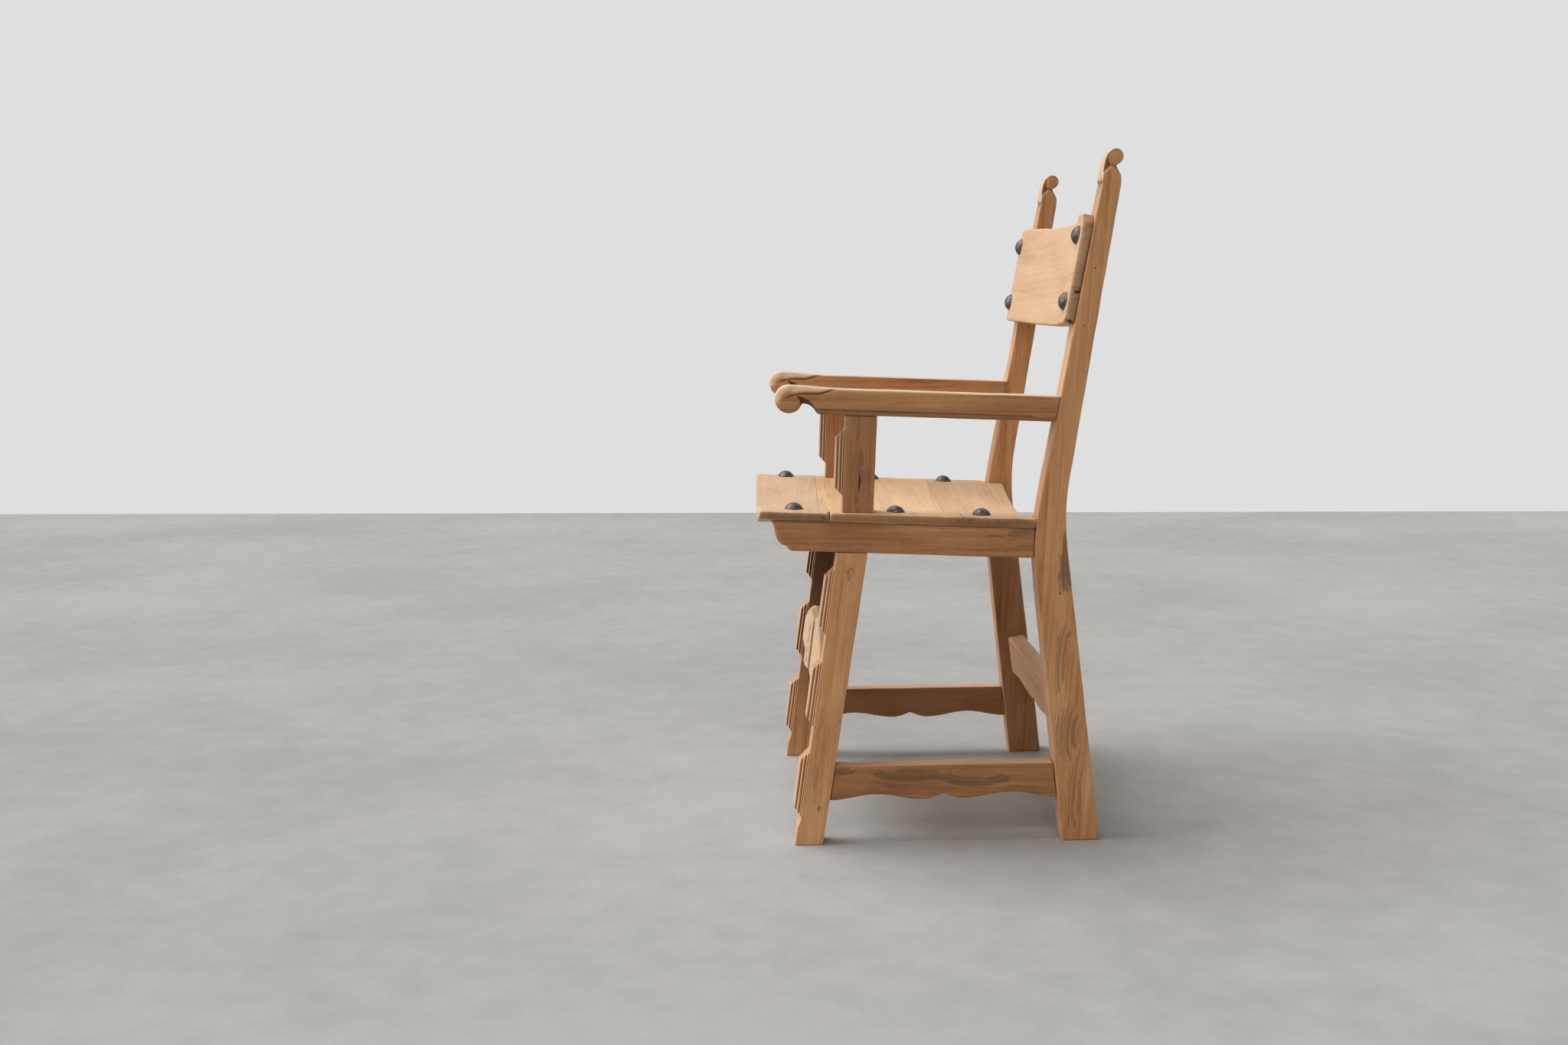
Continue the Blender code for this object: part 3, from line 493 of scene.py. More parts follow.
def carve_arm(surface):
    """Leaf, eye and undercut of the scroll on both sides of an arm, and a stopped groove along its lower edge."""
    d, h = on_plane(surface.points, SEAT)
    leaf = eased(ARM_LEAF)
    away, share = line_distance(d, h, leaf)
    line = smooth(share, 0.0, 0.30) * fade(share, 0.70, 1.0)
    depth = LEAF_LINE_DEPTH * bell(away, LEAF_LINE_WIDTH) * line

    edge = sorted(leaf[: len(leaf) * 5 // 6])
    below = np.interp(d, [p[0] for p in edge], [p[1] for p in edge]) - h
    under = np.exp(-np.clip(below, 0.0, None) / LEAF_UNDERCUT_FADE) * smooth(below, 0.0, 0.0010)
    depth += LEAF_UNDERCUT * under * smooth(d, -0.209, -0.202) * fade(d, -0.172, -0.146)

    radius = np.hypot(d - ARM_EYE[0], h - ARM_EYE[1])
    turns = [math.radians(a) for a in range(-30, 90, 8)]
    rim = [(math.cos(a), math.sin(a)) for a in turns]
    rim = tuple((ARM_EYE[0] + ARM_EYE_RADIUS * c, ARM_EYE[1] + ARM_EYE_RADIUS * s) for c, s in rim)
    brow = eased(ARM_COVE)
    hollow = within(d, h, brow + ARM_COVE_FOOT + rim)
    cove, _ = line_distance(d, h, brow)
    wall = smooth(radius, ARM_EYE_RADIUS, ARM_EYE_RADIUS + 0.0016)
    scoop = np.minimum(COVE_WALL * smooth(cove, 0.0, 0.0022) + COVE_SLOPE * cove, COVE_DEPTH)
    scoop = hollow * wall * scoop
    depth += scoop

    turn = np.degrees(np.arctan2(h - ARM_EYE[1], d - ARM_EYE[0]))
    clear = smooth(turn, -70.0, -20.0) * fade(turn, 110.0, 150.0)
    dish = np.clip(radius / ARM_EYE_RADIUS, 0.0, 1.0) ** 3
    depth += EYE_DISH * dish * (radius < ARM_EYE_RADIUS) * clear

    rise = np.clip(-below, 0.0, LEAF_ROUND_REACH) * smooth(d, -0.2190, -0.2090) * fade(d, -0.172, -0.148)
    ring = np.hypot(d - ARM_SCROLL[0], h - ARM_SCROLL[1]) - SCROLL_FLAT
    ring = np.clip(ring, 0.0, LEAF_ROUND_REACH)
    ring *= fade(d, -0.2190, -0.2090) * smooth(h, 0.146, 0.160)
    rounded = rise + ring
    depth += LEAF_ROUND * rounded

    start, end = ARM_GROOVE
    run = smooth(d, start, start + 0.006) * fade(d, end - 0.006, end)
    groove = bell(h - ARM_GROOVE_HEIGHT, ARM_GROOVE_WIDTH) * run

    # Painted shade in the cove hollow, the groove and the leaf line.
    painted_shading = np.clip(scoop / 0.0045 + 0.45 * groove + 0.8 * bell(away, 0.0011) * line, 0.0, 1.0)
    # Darker below the groove, and a little darker on the lower part of the side.
    behind = smooth(d, -0.19, -0.17)
    painted_shading += 0.34 * fade(h, ARM_GROOVE_HEIGHT - 0.001, ARM_GROOVE_HEIGHT + 0.001) * behind
    painted_shading += 0.10 * fade(h, 0.146, 0.166) * behind
    # Painted highlight where the arm faces up and on the rounded leaf band, except where painted shade is.
    _, upward = plane_axes(SEAT)
    painted_shading -= 0.75 * smooth(surface.normals() @ upward, 0.10, 0.60)
    painted_shading -= 0.75 * np.clip(rounded / 0.006, 0.0, 1.0) * (1.0 - np.clip(painted_shading / 0.3, 0.0, 1.0))
    surface.painted_shading = painted_shading
    surface.narrowed(ARM_HALF, depth + ARM_GROOVE_DEPTH * groove)
    surface.points = surface.smoothed(1)


def carve_finial(surface):
    """The recess between leaf, eye and neck on both sides of a finial, and the leaf's notched foot."""
    x, y, z = surface.points.T
    rearward, _ = plane_axes(BACK)
    facing = -(surface.normals() @ rearward)
    offset = x - math.copysign(POST_X, x.mean())

    notch = np.clip(1.0 - np.abs(np.abs(offset) - NOTCH_OFFSET) / NOTCH_HALF, 0.0, 1.0)
    below = FINIAL_LEAF_FOOT + NOTCH_HEIGHT * notch - z
    cut = LEAF_FOOT_DEPTH * np.exp(-np.clip(below, 0.0, None) / LEAF_FOOT_FADE) * smooth(below, 0.0, 0.0016)
    cut += LEAF_VEIN_DEPTH * bell(offset, LEAF_VEIN_WIDTH) * smooth(z, 0.938, 0.946) * fade(z, 0.968, 0.976)
    cut *= smooth(facing, 0.4, 0.7)

    radius = np.hypot(y - FINIAL_EYE[0], z - FINIAL_EYE[1])
    recess = pocket(y, z, FINIAL_RECESS, 0.0016)
    pit = np.hypot(y - FINIAL_PEAK[0] + 0.0014, z - FINIAL_PEAK[1] - 0.0012)
    sliver = pocket(y, z, FINIAL_SLIVER, 0.0018)
    depth = recess * (RECESS_DEPTH + PIT_DEPTH * bell(pit, PIT_RADIUS))
    depth = np.maximum(depth, SLIVER_DEPTH * sliver)
    away, _ = line_distance(y, z, FINIAL_SEAM)
    seam = bell(away, SEAM_WIDTH)
    depth = np.maximum(depth, SEAM_DEPTH * seam)
    dish = np.clip(radius / FINIAL_EYE_RADIUS, 0.0, 1.0) ** 3
    depth += FINIAL_DISH * dish * (radius < FINIAL_EYE_RADIUS)

    # Painted shade in the recess, sliver and seam away from the front, and in the cuts at the leaf's foot; painted
    # highlight on the front-facing leaf.
    ahead = smooth(facing, 0.25, 0.6)
    beside = (0.80 * recess + 0.9 * sliver + 0.9 * seam) * (1.0 - ahead)
    surface.painted_shading = np.clip(beside + cut / LEAF_FOOT_DEPTH * 0.60, 0.0, 1.0)
    leaf = ahead * smooth(z, FINIAL_LEAF_FOOT, FINIAL_LEAF_FOOT + 0.004)
    surface.painted_shading -= 0.75 * leaf * (1.0 - np.clip(surface.painted_shading / 0.3, 0.0, 1.0))
    surface.narrowed(FINIAL_HALF, depth)
    surface.points += rearward * cut[:, None]
    surface.points = np.where((z > FINIAL_BOTTOM)[:, None], surface.smoothed(1), surface.points)


def carve_panels(surface, plane, lows):
    """V cuts between the reeds of the panels, and a gouged hip at the upper end of each."""
    d, h = on_plane(surface.points, plane)
    normals = surface.normals()
    offset = surface.points[:, 0] - math.copysign(POST_X, surface.points[:, 0].mean())
    rearward, upward = plane_axes(plane)
    for low in lows:
        top = low + PANEL_LENGTH
        inside = smooth(h, low - d - 0.0005, low - d + 0.001) * fade(h, top + d - 0.001, top + d)
        cuts = [bell(-d - reach, GROOVE_WIDTH) for reach in PANEL_GROOVES]
        aside = inside * smooth(np.abs(normals[:, 0]), 0.25, 0.6)
        surface.points[:, 0] -= np.sign(offset) * GROOVE_DEPTH * sum(cuts) * aside
        # Painted shade in the V cuts and on the side-facing flats, painted highlight on the front-facing reeds.
        dark = aside * np.minimum(1.0, cuts[0] + 0.9 * cuts[1] + 0.9 * cuts[2])
        pale = inside * sum(bell(-d - reach, REED_WIDTH) for reach in PANEL_REEDS)
        flat = inside * sum(bell(-d - reach, FLAT_WIDTH) for reach in PANEL_FLATS)
        surface.painted_shading += dark + (0.30 * flat - 0.66 * np.minimum(pale, 1.0)) * (1.0 - dark)
        hip = smooth(h, top - 0.0135, top - 0.010) * fade(h, top - 0.001, top) * smooth(-d, 0.0004, 0.002)
        cut = HIP_DEPTH * hip * np.clip(1.0 - np.abs(np.abs(offset) - HIP_OFFSET) / HIP_HALF, 0.0, 1.0)
        surface.points += (rearward - upward)[None, :] * (cut * 0.7)[:, None]


def arch(x):
    """Height of the front stretcher's upper edge, up the plane of the legs."""
    return ARCH_LOW + ARCH_END + ARCH_RISE * (1.0 - (x / ARCH_HALF) ** 2)


def gouge_marks():
    """(x, h, slope, half length, half width, depth) of every gouge cut on the front stretcher."""
    marks = []
    for side in (1, -1):
        for n in range(12):
            x = side * (0.060 + 0.0152 * n)
            slope = math.atan(-2.0 * ARCH_RISE * x / ARCH_HALF**2)
            marks.append((x, arch(x) - 0.0080, slope, 0.0056, 0.0020, 0.0022))
        for h in (0.2200, 0.2370, 0.2540, 0.2710):
            marks.append((side * 0.0270, h, side * math.radians(48), 0.0105, 0.0030, 0.0026))
            marks.append((side * 0.0130, h + 0.0060, side * math.radians(62), 0.0080, 0.0022, 0.0020))
    for h in (0.2220, 0.2470, 0.2720):
        marks.append((0.0, h, math.pi / 2, 0.0085, 0.0030, 0.0024))
    return marks


def carve_front_stretcher(surface):
    """A convex boss with leaf cuts, a row of gouge cuts along the arch, and a rolled upper edge."""
    d, h = on_plane(surface.points, LEG_FACE)
    x = surface.points[:, 0]
    rearward, _ = plane_axes(LEG_FACE)
    ahead = smooth(-(surface.normals() @ rearward), 0.5, 0.8)
    # The rear face stays, and what lies between the faces moves in proportion
    board = np.median(d[(ahead > 0.9) & (np.abs(x) > BOSS_HALF + 0.01)])
    depth_share = np.clip((d.max() - d) / (d.max() - board), 0.0, 1.0)
    boss = fade(np.abs(x), BOSS_HALF - 0.0005, BOSS_HALF + 0.0010)
    cut = boss * (BOSS_CROWN * (x / BOSS_HALF) ** 2 - BOSS_PROUD)
    gouged = np.zeros(len(x))
    for x0, h0, slope, length, width, depth in gouge_marks():
        along = (x - x0) * math.cos(slope) + (h - h0) * math.sin(slope)
        across = (h - h0) * math.cos(slope) - (x - x0) * math.sin(slope)
        inside = np.clip(1.0 - (along / length) ** 2 - (across / width) ** 2, 0.0, 1.0)
        gouged = np.maximum(gouged, depth * np.sqrt(inside))
    top = arch(x)
    roll = smooth(h, top - ARCH_ROLL, top + 0.0005)
    cut = cut + ARCH_ROLL_DEPTH * roll**2
    wall = bell(np.abs(x) - BOSS_HALF - 0.0010, BOSS_WALL_WIDTH) * fade(h, top - 0.012, top - 0.007)
    wall *= smooth(depth_share, 0.85, 0.98)
    cut = cut + BOSS_WALL_DEPTH * wall
    hollow = np.clip(gouged / 0.0016 - 0.25, 0.0, 1.0)
    # Painted shade in the gouge cuts and on the boss's side wall, painted highlight on the rest of the front-facing
    # faces.
    surface.painted_shading = ahead * (0.60 * hollow - 0.62 * (1.0 - hollow)) * (1.0 - wall) + 0.95 * wall
    surface.points = surface.points + rearward * (cut * depth_share)[:, None]
    surface.points = surface.smoothed(2) + rearward * (gouged * ahead)[:, None]


class Shader:
    """Short ways to add nodes to a material."""

    def __init__(self, name):
        self.material = bpy.data.materials.new(name)
        self.material.use_nodes = True
        self.tree = self.material.node_tree
        self.bsdf = self.tree.nodes["Principled BSDF"]

    def put(self, socket, value):
        if isinstance(value, bpy.types.NodeSocket):
            self.tree.links.new(value, socket)
        else:
            socket.default_value = value

    def node(self, kind, values=(), **settings):
        node = self.tree.nodes.new(kind)
        for key, value in settings.items():
            setattr(node, key, value)
        for socket, value in values:
            self.put(node.inputs[socket], value)
        return node

    def math(self, operation, *values):
        node = self.node("ShaderNodeMath", enumerate(values), operation=operation)
        return node.outputs[0]

    def vector(self, operation, *values):
        node = self.node("ShaderNodeVectorMath", enumerate(values), operation=operation)
        return node.outputs["Value" if operation in ("DOT_PRODUCT", "LENGTH") else "Vector"]

    def noise(self, vector, scale, detail=2.0, rough=0.5, output=0):
        """Noise of a vector that is first stretched by a scale for each axis."""
        stretched = self.vector("MULTIPLY", vector, scale)
        values = (("Vector", stretched), ("Scale", 1.0), ("Detail", detail), ("Roughness", rough))
        return self.node("ShaderNodeTexNoise", values).outputs[output]

    def bands(self, value, scale, detail=2.0, rough=0.5):
        """Noise along one number."""
        stretched = self.math("MULTIPLY", value, scale)
        values = (("W", stretched), ("Scale", 1.0), ("Detail", detail), ("Roughness", rough))
        return self.node("ShaderNodeTexNoise", values, noise_dimensions="1D").outputs[0]

    def ease(self, value, low, high, start=0.0, end=1.0):
        values = ((0, value), (1, low), (2, high), (3, start), (4, end))
        return self.node("ShaderNodeMapRange", values, interpolation_type="SMOOTHSTEP").outputs[0]

    def off_middle(self, value):
        """How far a noise is from its middle."""
        return self.math("ABSOLUTE", self.math("SUBTRACT", value, 0.5))

    def mix(self, share, a, b, blend="MIX"):
        values = ((0, share), (6, a), (7, b))
        return self.node("ShaderNodeMix", values, data_type="RGBA", blend_type=blend).outputs[2]

    def attribute(self, name, output):
        return self.node("ShaderNodeAttribute", attribute_name=name).outputs[output]

    def blob(self, place, centre, radii):
        """1 in the middle of an ellipsoid, falling to 0 at its surface."""
        offset = self.vector("SUBTRACT", place, centre)
        scaled = self.vector("MULTIPLY", offset, tuple(1.0 / r for r in radii))
        return self.ease(self.vector("DOT_PRODUCT", scaled, scaled), 0.0, 1.0, 1.0, 0.0)

    def finish(self, shade, roughness, height, strength, distance):
        self.put(self.bsdf.inputs["Base Color"], shade)
        self.put(self.bsdf.inputs["Roughness"], roughness)
        values = (("Height", height), ("Strength", strength), ("Distance", distance))
        self.put(self.bsdf.inputs["Normal"], self.node("ShaderNodeBump", values).outputs[0])
        return self.material


def toned(tones, share):
    """Darker or paler tones. A darker one is also a little more saturated."""
    return [colour(r * share, g * share**1.12, b * share**1.25) for r, g, b, _ in tones]


def stained(s, shade, grain, uneven, stains):
    """Ragged stains with thin veins, and near-black cracks and pin holes, over a shade."""
    ragged = s.math("MULTIPLY_ADD", s.noise(grain, (230.0, 230.0, 60.0), 4.0, 0.70), 2.4, -1.2)
    vein = s.off_middle(s.noise(uneven, (90.0, 90.0, 26.0), 3.0, 0.65))
    vein = s.ease(vein, 0.0, 0.050, 1.0, 0.0)
    for spot, stain in stains:
        if stain > 1.0:
            shade = s.mix(s.ease(spot, 0.10, 0.70), shade, CRACK)
            continue
        edge = s.math("MULTIPLY_ADD", spot, 1.5, s.math("MULTIPLY", ragged, s.ease(spot, 0.0, 0.30)))
        share = s.ease(edge, 0.10, 1.35, 0.0, 0.52 * stain)
        line = s.math("MULTIPLY", vein, s.ease(spot, 0.02, 0.45, 0.0, 0.45 * stain))
        shade = s.mix(s.math("MAXIMUM", share, line), shade, STREAK)
    return shade


def weathered(s, shade, slow, ends, painted_top_light):
    """Painted light on faces up or ahead, darker end grain, rubbed arrises, grime, painted shade and highlight.
    Also the shading.
    """
    normal = s.node("ShaderNodeNewGeometry").outputs["Normal"]
    # Painted light: paler where the surface faces up or forward, towards the lamps.
    up = s.vector("DOT_PRODUCT", normal, (0.0, 0.0, 1.0))
    ahead = s.vector("DOT_PRODUCT", normal, (0.0, -1.0, 0.0))
    above = s.ease(up, 0.55, 0.95, 0.0, painted_top_light)
    painted_light_share = s.math("MAXIMUM", above, s.ease(ahead, 0.55, 0.95, 0.0, PAINTED_LIGHT_AHEAD))
    painted_light_share = s.math("MULTIPLY", painted_light_share, s.ease(slow, 0.30, 0.60, 0.65, 1.15))
    shade = s.mix(painted_light_share, shade, PALE)
    # Darker end grain; on the seat boards' near edges partly painted shade.
    end_share = s.ease(s.attribute("ends", "Fac"), 0.38, 0.80, 0.0, ends)
    shade = s.mix(end_share, shade, END_GRAIN, "MULTIPLY")
    arris = s.attribute("arris", "Fac")
    rubbed = s.ease(arris, 0.15, 0.70, 0.0, 0.30)
    rubbed = s.math("MULTIPLY", rubbed, s.ease(slow, 0.35, 0.60, 0.2, 1.0))
    shade = s.mix(rubbed, shade, s.mix(0.5, shade, PALE))
    # Grime and painted shade in concave creases.
    hollow = s.ease(arris, -0.12, -0.55, 0.0, 0.80)
    painted_shading = s.attribute("painted_shading", "Fac")
    # Painted highlight where the painted shading is below 0.
    shade = s.mix(s.ease(painted_shading, 0.0, -1.0, 0.0, 0.85), shade, PAINTED_HIGHLIGHT)
    # Painted shade where the painted shading is above 0.
    grime_and_shade = s.math("MAXIMUM", hollow, s.math("MULTIPLY", painted_shading, 0.78))
    return s.mix(grime_and_shade, shade, GRIME_AND_SHADE), painted_shading


def wood(name, tones, marks, ends, painted_top_light):
    """Stripped fruitwood: growth rings about a pith, fibres, pores, streaks, and the marks of one piece.

    marks: (centre, radii, lift, stain) in grain coordinates. lift bends the rings round a knot, stain
    darkens it, and a stain above 1 is a crack. ends: how much darker the end grain is, on the seat boards
    partly painted shade. The last argument is how much painted light goes on what faces up.
    """
    s = Shader(name)
    grain = s.attribute("grain", "Vector")
    slow = s.noise(grain, (9.0, 9.0, 1.4), 3.0, 0.55)
    warp = s.math("MULTIPLY_ADD", slow, 0.012, -0.006)
    warp = s.math("MULTIPLY_ADD", s.noise(grain, (55.0, 55.0, 13.0), 2.0, 0.5), 0.0045, warp)
    rings = s.math("ADD", s.vector("LENGTH", s.vector("MULTIPLY", grain, (1.0, 1.0, 0.035))), warp)

    drift = s.noise(grain, (75.0, 75.0, 26.0), 4.0, 0.62, "Color")
    drift = s.vector("SUBTRACT", drift, (0.5, 0.5, 0.5))
    uneven = s.vector("ADD", grain, s.vector("MULTIPLY", drift, STAIN_DRIFT))
    steady = s.vector("ADD", grain, s.vector("MULTIPLY", drift, CRACK_DRIFT))
    stains, looped = [], 0.10
    for centre, radii, lift, stain in marks:
        spot = s.blob(steady if stain > 1.0 else uneven, centre, radii)
        if lift:
            rings = s.math("MULTIPLY_ADD", s.blob(steady, centre, radii), lift, rings)
            looped = s.math("MAXIMUM", looped, s.ease(spot, 0.01, 0.40, 0.0, 0.50))
        if stain:
            stains.append((spot, stain))

    wide = s.bands(rings, 150.0, 2.0, 0.5)
    fine = s.bands(rings, 640.0, 2.0, 0.6)
    streaks = s.noise(grain, (170.0, 170.0, 3.0), 3.0, 0.62)
    fibre = s.noise(grain, (950.0, 950.0, 22.0), 3.0, 0.6)
    pore = s.ease(s.noise(grain, (1900.0, 1900.0, 75.0), 1.0, 0.5), 0.62, 0.74)
    cloud = s.noise(uneven, (24.0, 24.0, 6.0), 3.0, 0.60)
    tone = s.math("MULTIPLY_ADD", fine, 0.24, s.math("MULTIPLY", fibre, 0.26))
    tone = s.math("MULTIPLY_ADD", wide, 0.34, tone)
    tone = s.math("MULTIPLY_ADD", slow, 0.45, s.math("MULTIPLY_ADD", streaks, 0.46, tone))
    tone = s.math("MULTIPLY_ADD", s.math("SUBTRACT", cloud, 0.5), 0.85, tone)
    low = s.mix(s.ease(tone, 0.62, 0.90), tones[0], tones[1])
    shade = s.mix(s.ease(tone, 0.86, 1.14), low, tones[2])
    line = s.ease(s.off_middle(s.bands(rings, 170.0, 1.0, 0.5)), 0.0, 0.07, 1.0, 0.0)
    line = s.math("MULTIPLY", line, looped)
    streak = s.ease(s.noise(grain, (26.0, 26.0, 1.5), 3.0, 0.6), 0.58, 0.76, 0.0, 0.50)
    dark = s.math("MAXIMUM", line, s.math("MULTIPLY", streak, s.ease(fine, 0.2, 0.7, 0.5, 1.0)))
    shade = s.mix(dark, shade, STREAK)
    shade = stained(s, shade, grain, uneven, stains)
    shade = s.mix(s.math("MULTIPLY", pore, 0.34), shade, STREAK)
    shade, painted_shading = weathered(s, shade, slow, ends, painted_top_light)

    height = s.math("MULTIPLY_ADD", pore, -0.5, s.math("MULTIPLY", fine, 0.18))
    height = s.math("MULTIPLY_ADD", fibre, 0.45, height)
    roughness = s.math("MULTIPLY_ADD", fibre, 0.16, s.ease(painted_shading, 0.0, 0.8, 0.46, 0.72))
    s.bsdf.inputs["Specular IOR Level"].default_value = 0.28
    return s.finish(shade, roughness, height, 0.35, 0.0006)


def iron(name):
    """Blackened nail heads, hammered, browned in patches and paler in other patches."""
    s = Shader(name)
    place = s.node("ShaderNodeTexCoord").outputs["Object"]
    patch = s.noise(place, (170.0, 170.0, 170.0), 4.0, 0.6)
    grit = s.noise(place, (1500.0, 1500.0, 1500.0), 2.0, 0.6)
    shade = s.mix(s.ease(patch, 0.36, 0.64), IRON_DARK, IRON_WORN)
    shade = s.mix(s.ease(grit, 0.58, 0.72, 0.0, 0.35), shade, IRON_RUST)
    roughness = s.math("MULTIPLY_ADD", patch, 0.26, 0.28)
    s.bsdf.inputs["Metallic"].default_value = 0.85
    height = s.math("MULTIPLY_ADD", grit, 0.25, patch)
    return s.finish(shade, roughness, height, 0.22, 0.0006)


def basis(along):
    """Rows: two directions across the grain and the direction along it."""
    w = np.array(along, float) / np.linalg.norm(along)
    u = np.array((0.0, 1.0, 0.0)) if abs(w[0]) > 0.9 else np.array((1.0, 0.0, 0.0))
    return np.array((u, np.cross(w, u), w))


def frame_middle(node):
    """The middle of a node's box. Both back boards have one, so that the figure runs on over their joint."""
    names = ("back_plank_lower", "back_plank_upper") if node.startswith("back") else (node,)
    corners = np.array([v.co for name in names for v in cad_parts[name].data.vertices])
    return (corners.min(axis=0) + corners.max(axis=0)) / 2


def end_shade(node):
    """How much darker a piece's end grain is. On the seat boards it is partly painted shade on their near edges."""
    if node == "front_stretcher":
        return 0.12
    if node.startswith("seat"):
        return 1.0
    return 0.60 if "plank" in node else 0.30


def wooden(node, surface, seed, along, faces, tones, marks=(), pith=FRAME_PITH):
    """One finished wooden piece, cut from its own place in a log."""
    plank = "plank" in node
    rows = basis(along)
    draw = np.random.default_rng(seed)
    away = [draw.uniform(*span) * draw.choice((-1.0, 1.0)) for span in pith]
    origin = frame_middle(node) - rows.T @ np.array((*away, draw.uniform(2.0, 9.0)))
    item = finished(f"{node}_carved", surface, rows, origin, faces, node)
    placed = [(tuple(rows @ (np.array(c) - origin)), radii, lift, stain) for c, radii, lift, stain in marks]
    painted_top_light = PLANK_PAINTED_LIGHT if plank else FRAME_PAINTED_LIGHT
    item.data.materials.append(wood(f"{node}_wood", tones, placed, end_shade(node), painted_top_light))


def pair(stem, voxel, lean, soft, seed, along, faces, share, carve=None, marks=None, inner_shade=None):
    """The left and the right piece of a kind. The right one is the left one mirrored, with wear of its own."""
    left = remeshed(f"{stem}_left", voxel, Matrix.Rotation(lean, 4, "X"))
    for n, hand in enumerate(("left", "right")):
        surface = left.mirrored() if n else Surface(left.points.copy(), left.quads)
        worn(surface, seed + 10 * n, soft)
        if carve:
            carve(surface)
        # Painted shade on the inner faces under the seat.
        if inner_shade:
            shaded_inside(surface, *inner_shade)
        own_marks = (marks or {}).get(hand, ())
        wooden(f"{stem}_{hand}", surface, seed + 10 * n, along, faces, toned(FRAME_TONES, share), own_marks)


def frame_pieces():
    """Posts, legs, rails, arms and stretchers. share is how pale the wood is; the painted shade inside has low,
    high, amount.
    """
    _, leg_up = plane_axes(LEG_FACE)
    _, back_up = plane_axes(BACK)
    seat_rear, seat_up = plane_axes(SEAT)
    across = (1, 0, 0)
    pair(
        "rear_post",
        voxel=0.0012,
        lean=BACK[2],
        soft=2,
        seed=100,
        along=back_up * 0.5 + (0, 0, 0.5),
        faces=32000,
        share=0.98,
        carve=carve_finial,
        marks=POST_MARKS,
        inner_shade=(0.46, 0.36, 0.50),
    )
    pair(
        "front_leg",
        voxel=0.0008,
        lean=LEG_FACE[2],
        soft=1,
        seed=200,
        along=leg_up,
        faces=38000,
        share=1.04,
        carve=lambda surface: carve_panels(surface, LEG_FACE, LEG_PANELS),
        marks=LEG_MARKS,
        inner_shade=(-0.02, 0.36, 1.12),
    )
    pair(
        "side_rail",
        voxel=0.0016,
        lean=SEAT[2],
        soft=2,
        seed=300,
        along=seat_rear,
        faces=12000,
        share=0.80,
        marks=RAIL_MARKS,
        inner_shade=(0.30, 0.40, 0.30),
    )
    pair(
        "arm",
        voxel=0.0011,
        lean=SEAT[2],
        soft=2,
        seed=400,
        along=seat_rear,
        faces=26000,
        share=0.84,
        carve=carve_arm,
    )
    pair(
        "arm_post",
        voxel=0.0008,
        lean=SEAT[2],
        soft=1,
        seed=500,
        along=seat_up,
        faces=18000,
        share=0.68,
        carve=lambda surface: carve_panels(surface, ARM_FACE, ARM_PANELS),
        marks=ARM_POST_MARKS,
    )
    pair(
        "side_stretcher",
        voxel=0.0016,
        lean=0.0,
        soft=2,
        seed=600,
        along=(0, 1, 0),
        faces=12000,
        share=0.71,
        marks=STRETCHER_MARKS,
        inner_shade=(0.00, 0.04, 0.36),
    )
    rear = remeshed("rear_stretcher", 0.0018, Matrix.Rotation(SHIN_LEAN, 4, "X"))
    worn(rear, 700, 2)
    wooden("rear_stretcher", rear, 700, across, 14000, toned(FRAME_TONES, 0.96))
    front = remeshed("front_stretcher", 0.0012, Matrix.Rotation(LEG_FACE[2], 4, "X"))
    worn(front, 710, 1)
    carve_front_stretcher(front)
    wooden("front_stretcher", front, 710, across, 40000, toned(FRAME_TONES, 1.10))


def eared(surface):
    """Chamfers both upper corners of the back board."""
    _, upward = plane_axes(BACK)
    _, h = on_plane(surface.points, BACK)
    x = np.abs(surface.points[:, 0])
    t = np.clip((x - x.max() + EAR_WIDTH) / EAR_WIDTH, 0.0, 1.0)
    over = h - (h.max() - EAR_DROP * t)
    surface.points = surface.points - upward * np.clip(over, 0.0, None)[:, None]


def plank(node, plane, joint_low, joint_high, seed):
    """A board with blunt ends. Its joints stay tight on the seat, and run into each other on the back."""
    seat = plane is SEAT
    surface = remeshed(node, PLANK_VOXEL, Matrix.Rotation(plane[2], 4, "X"))
    across = on_plane(surface.points, plane)[0 if seat else 1]
    axis = plane_axes(plane)[0 if seat else 1]
    joints = []
    if joint_low:
        joints.append(across.min() - 0.0001)
    if joint_high:
        joints.append(across.max() + 0.0001)
    near = np.zeros(len(across))
    for joint in joints:
        away = np.abs(across - joint)
        near = near + fade(away, 0.002, 0.007)
        if seat:
            shift = (joint - across) * fade(away, 0.0010, 0.0040)
        else:
            shift = math.copysign(BOARD_LAP, joint - across.mean()) * fade(away, 0.0, 0.010)
        surface.points = surface.points + axis * shift[:, None]
    worn(surface, seed, 1, 0.0004 if seat else 0.00025, near if seat else 0.0)
    reach = np.abs(surface.points[:, 0])
    blunt = smooth(reach, reach.max() - 0.016, reach.max() - 0.005) * (1.0 - 0.8 * near if seat else 1.0)
    blunted = surface.smoothed(12 if seat else 30)
    surface.points = surface.points + (blunted - surface.points) * blunt[:, None]
    dented(surface, DENTS.get(node, ()))
    if node == "back_plank_upper":
        eared(surface)
    if not seat:
        surface.plain = near
    tones = OWN_TONES.get(node, PLANK_TONES)
    pith = QUARTER_PITH if seat else QUARTER_PITH[::-1]
    wooden(node, surface, seed, (1, 0, 0), PLANK_FACES, tones, PLANK_MARKS.get(node, ()), pith)


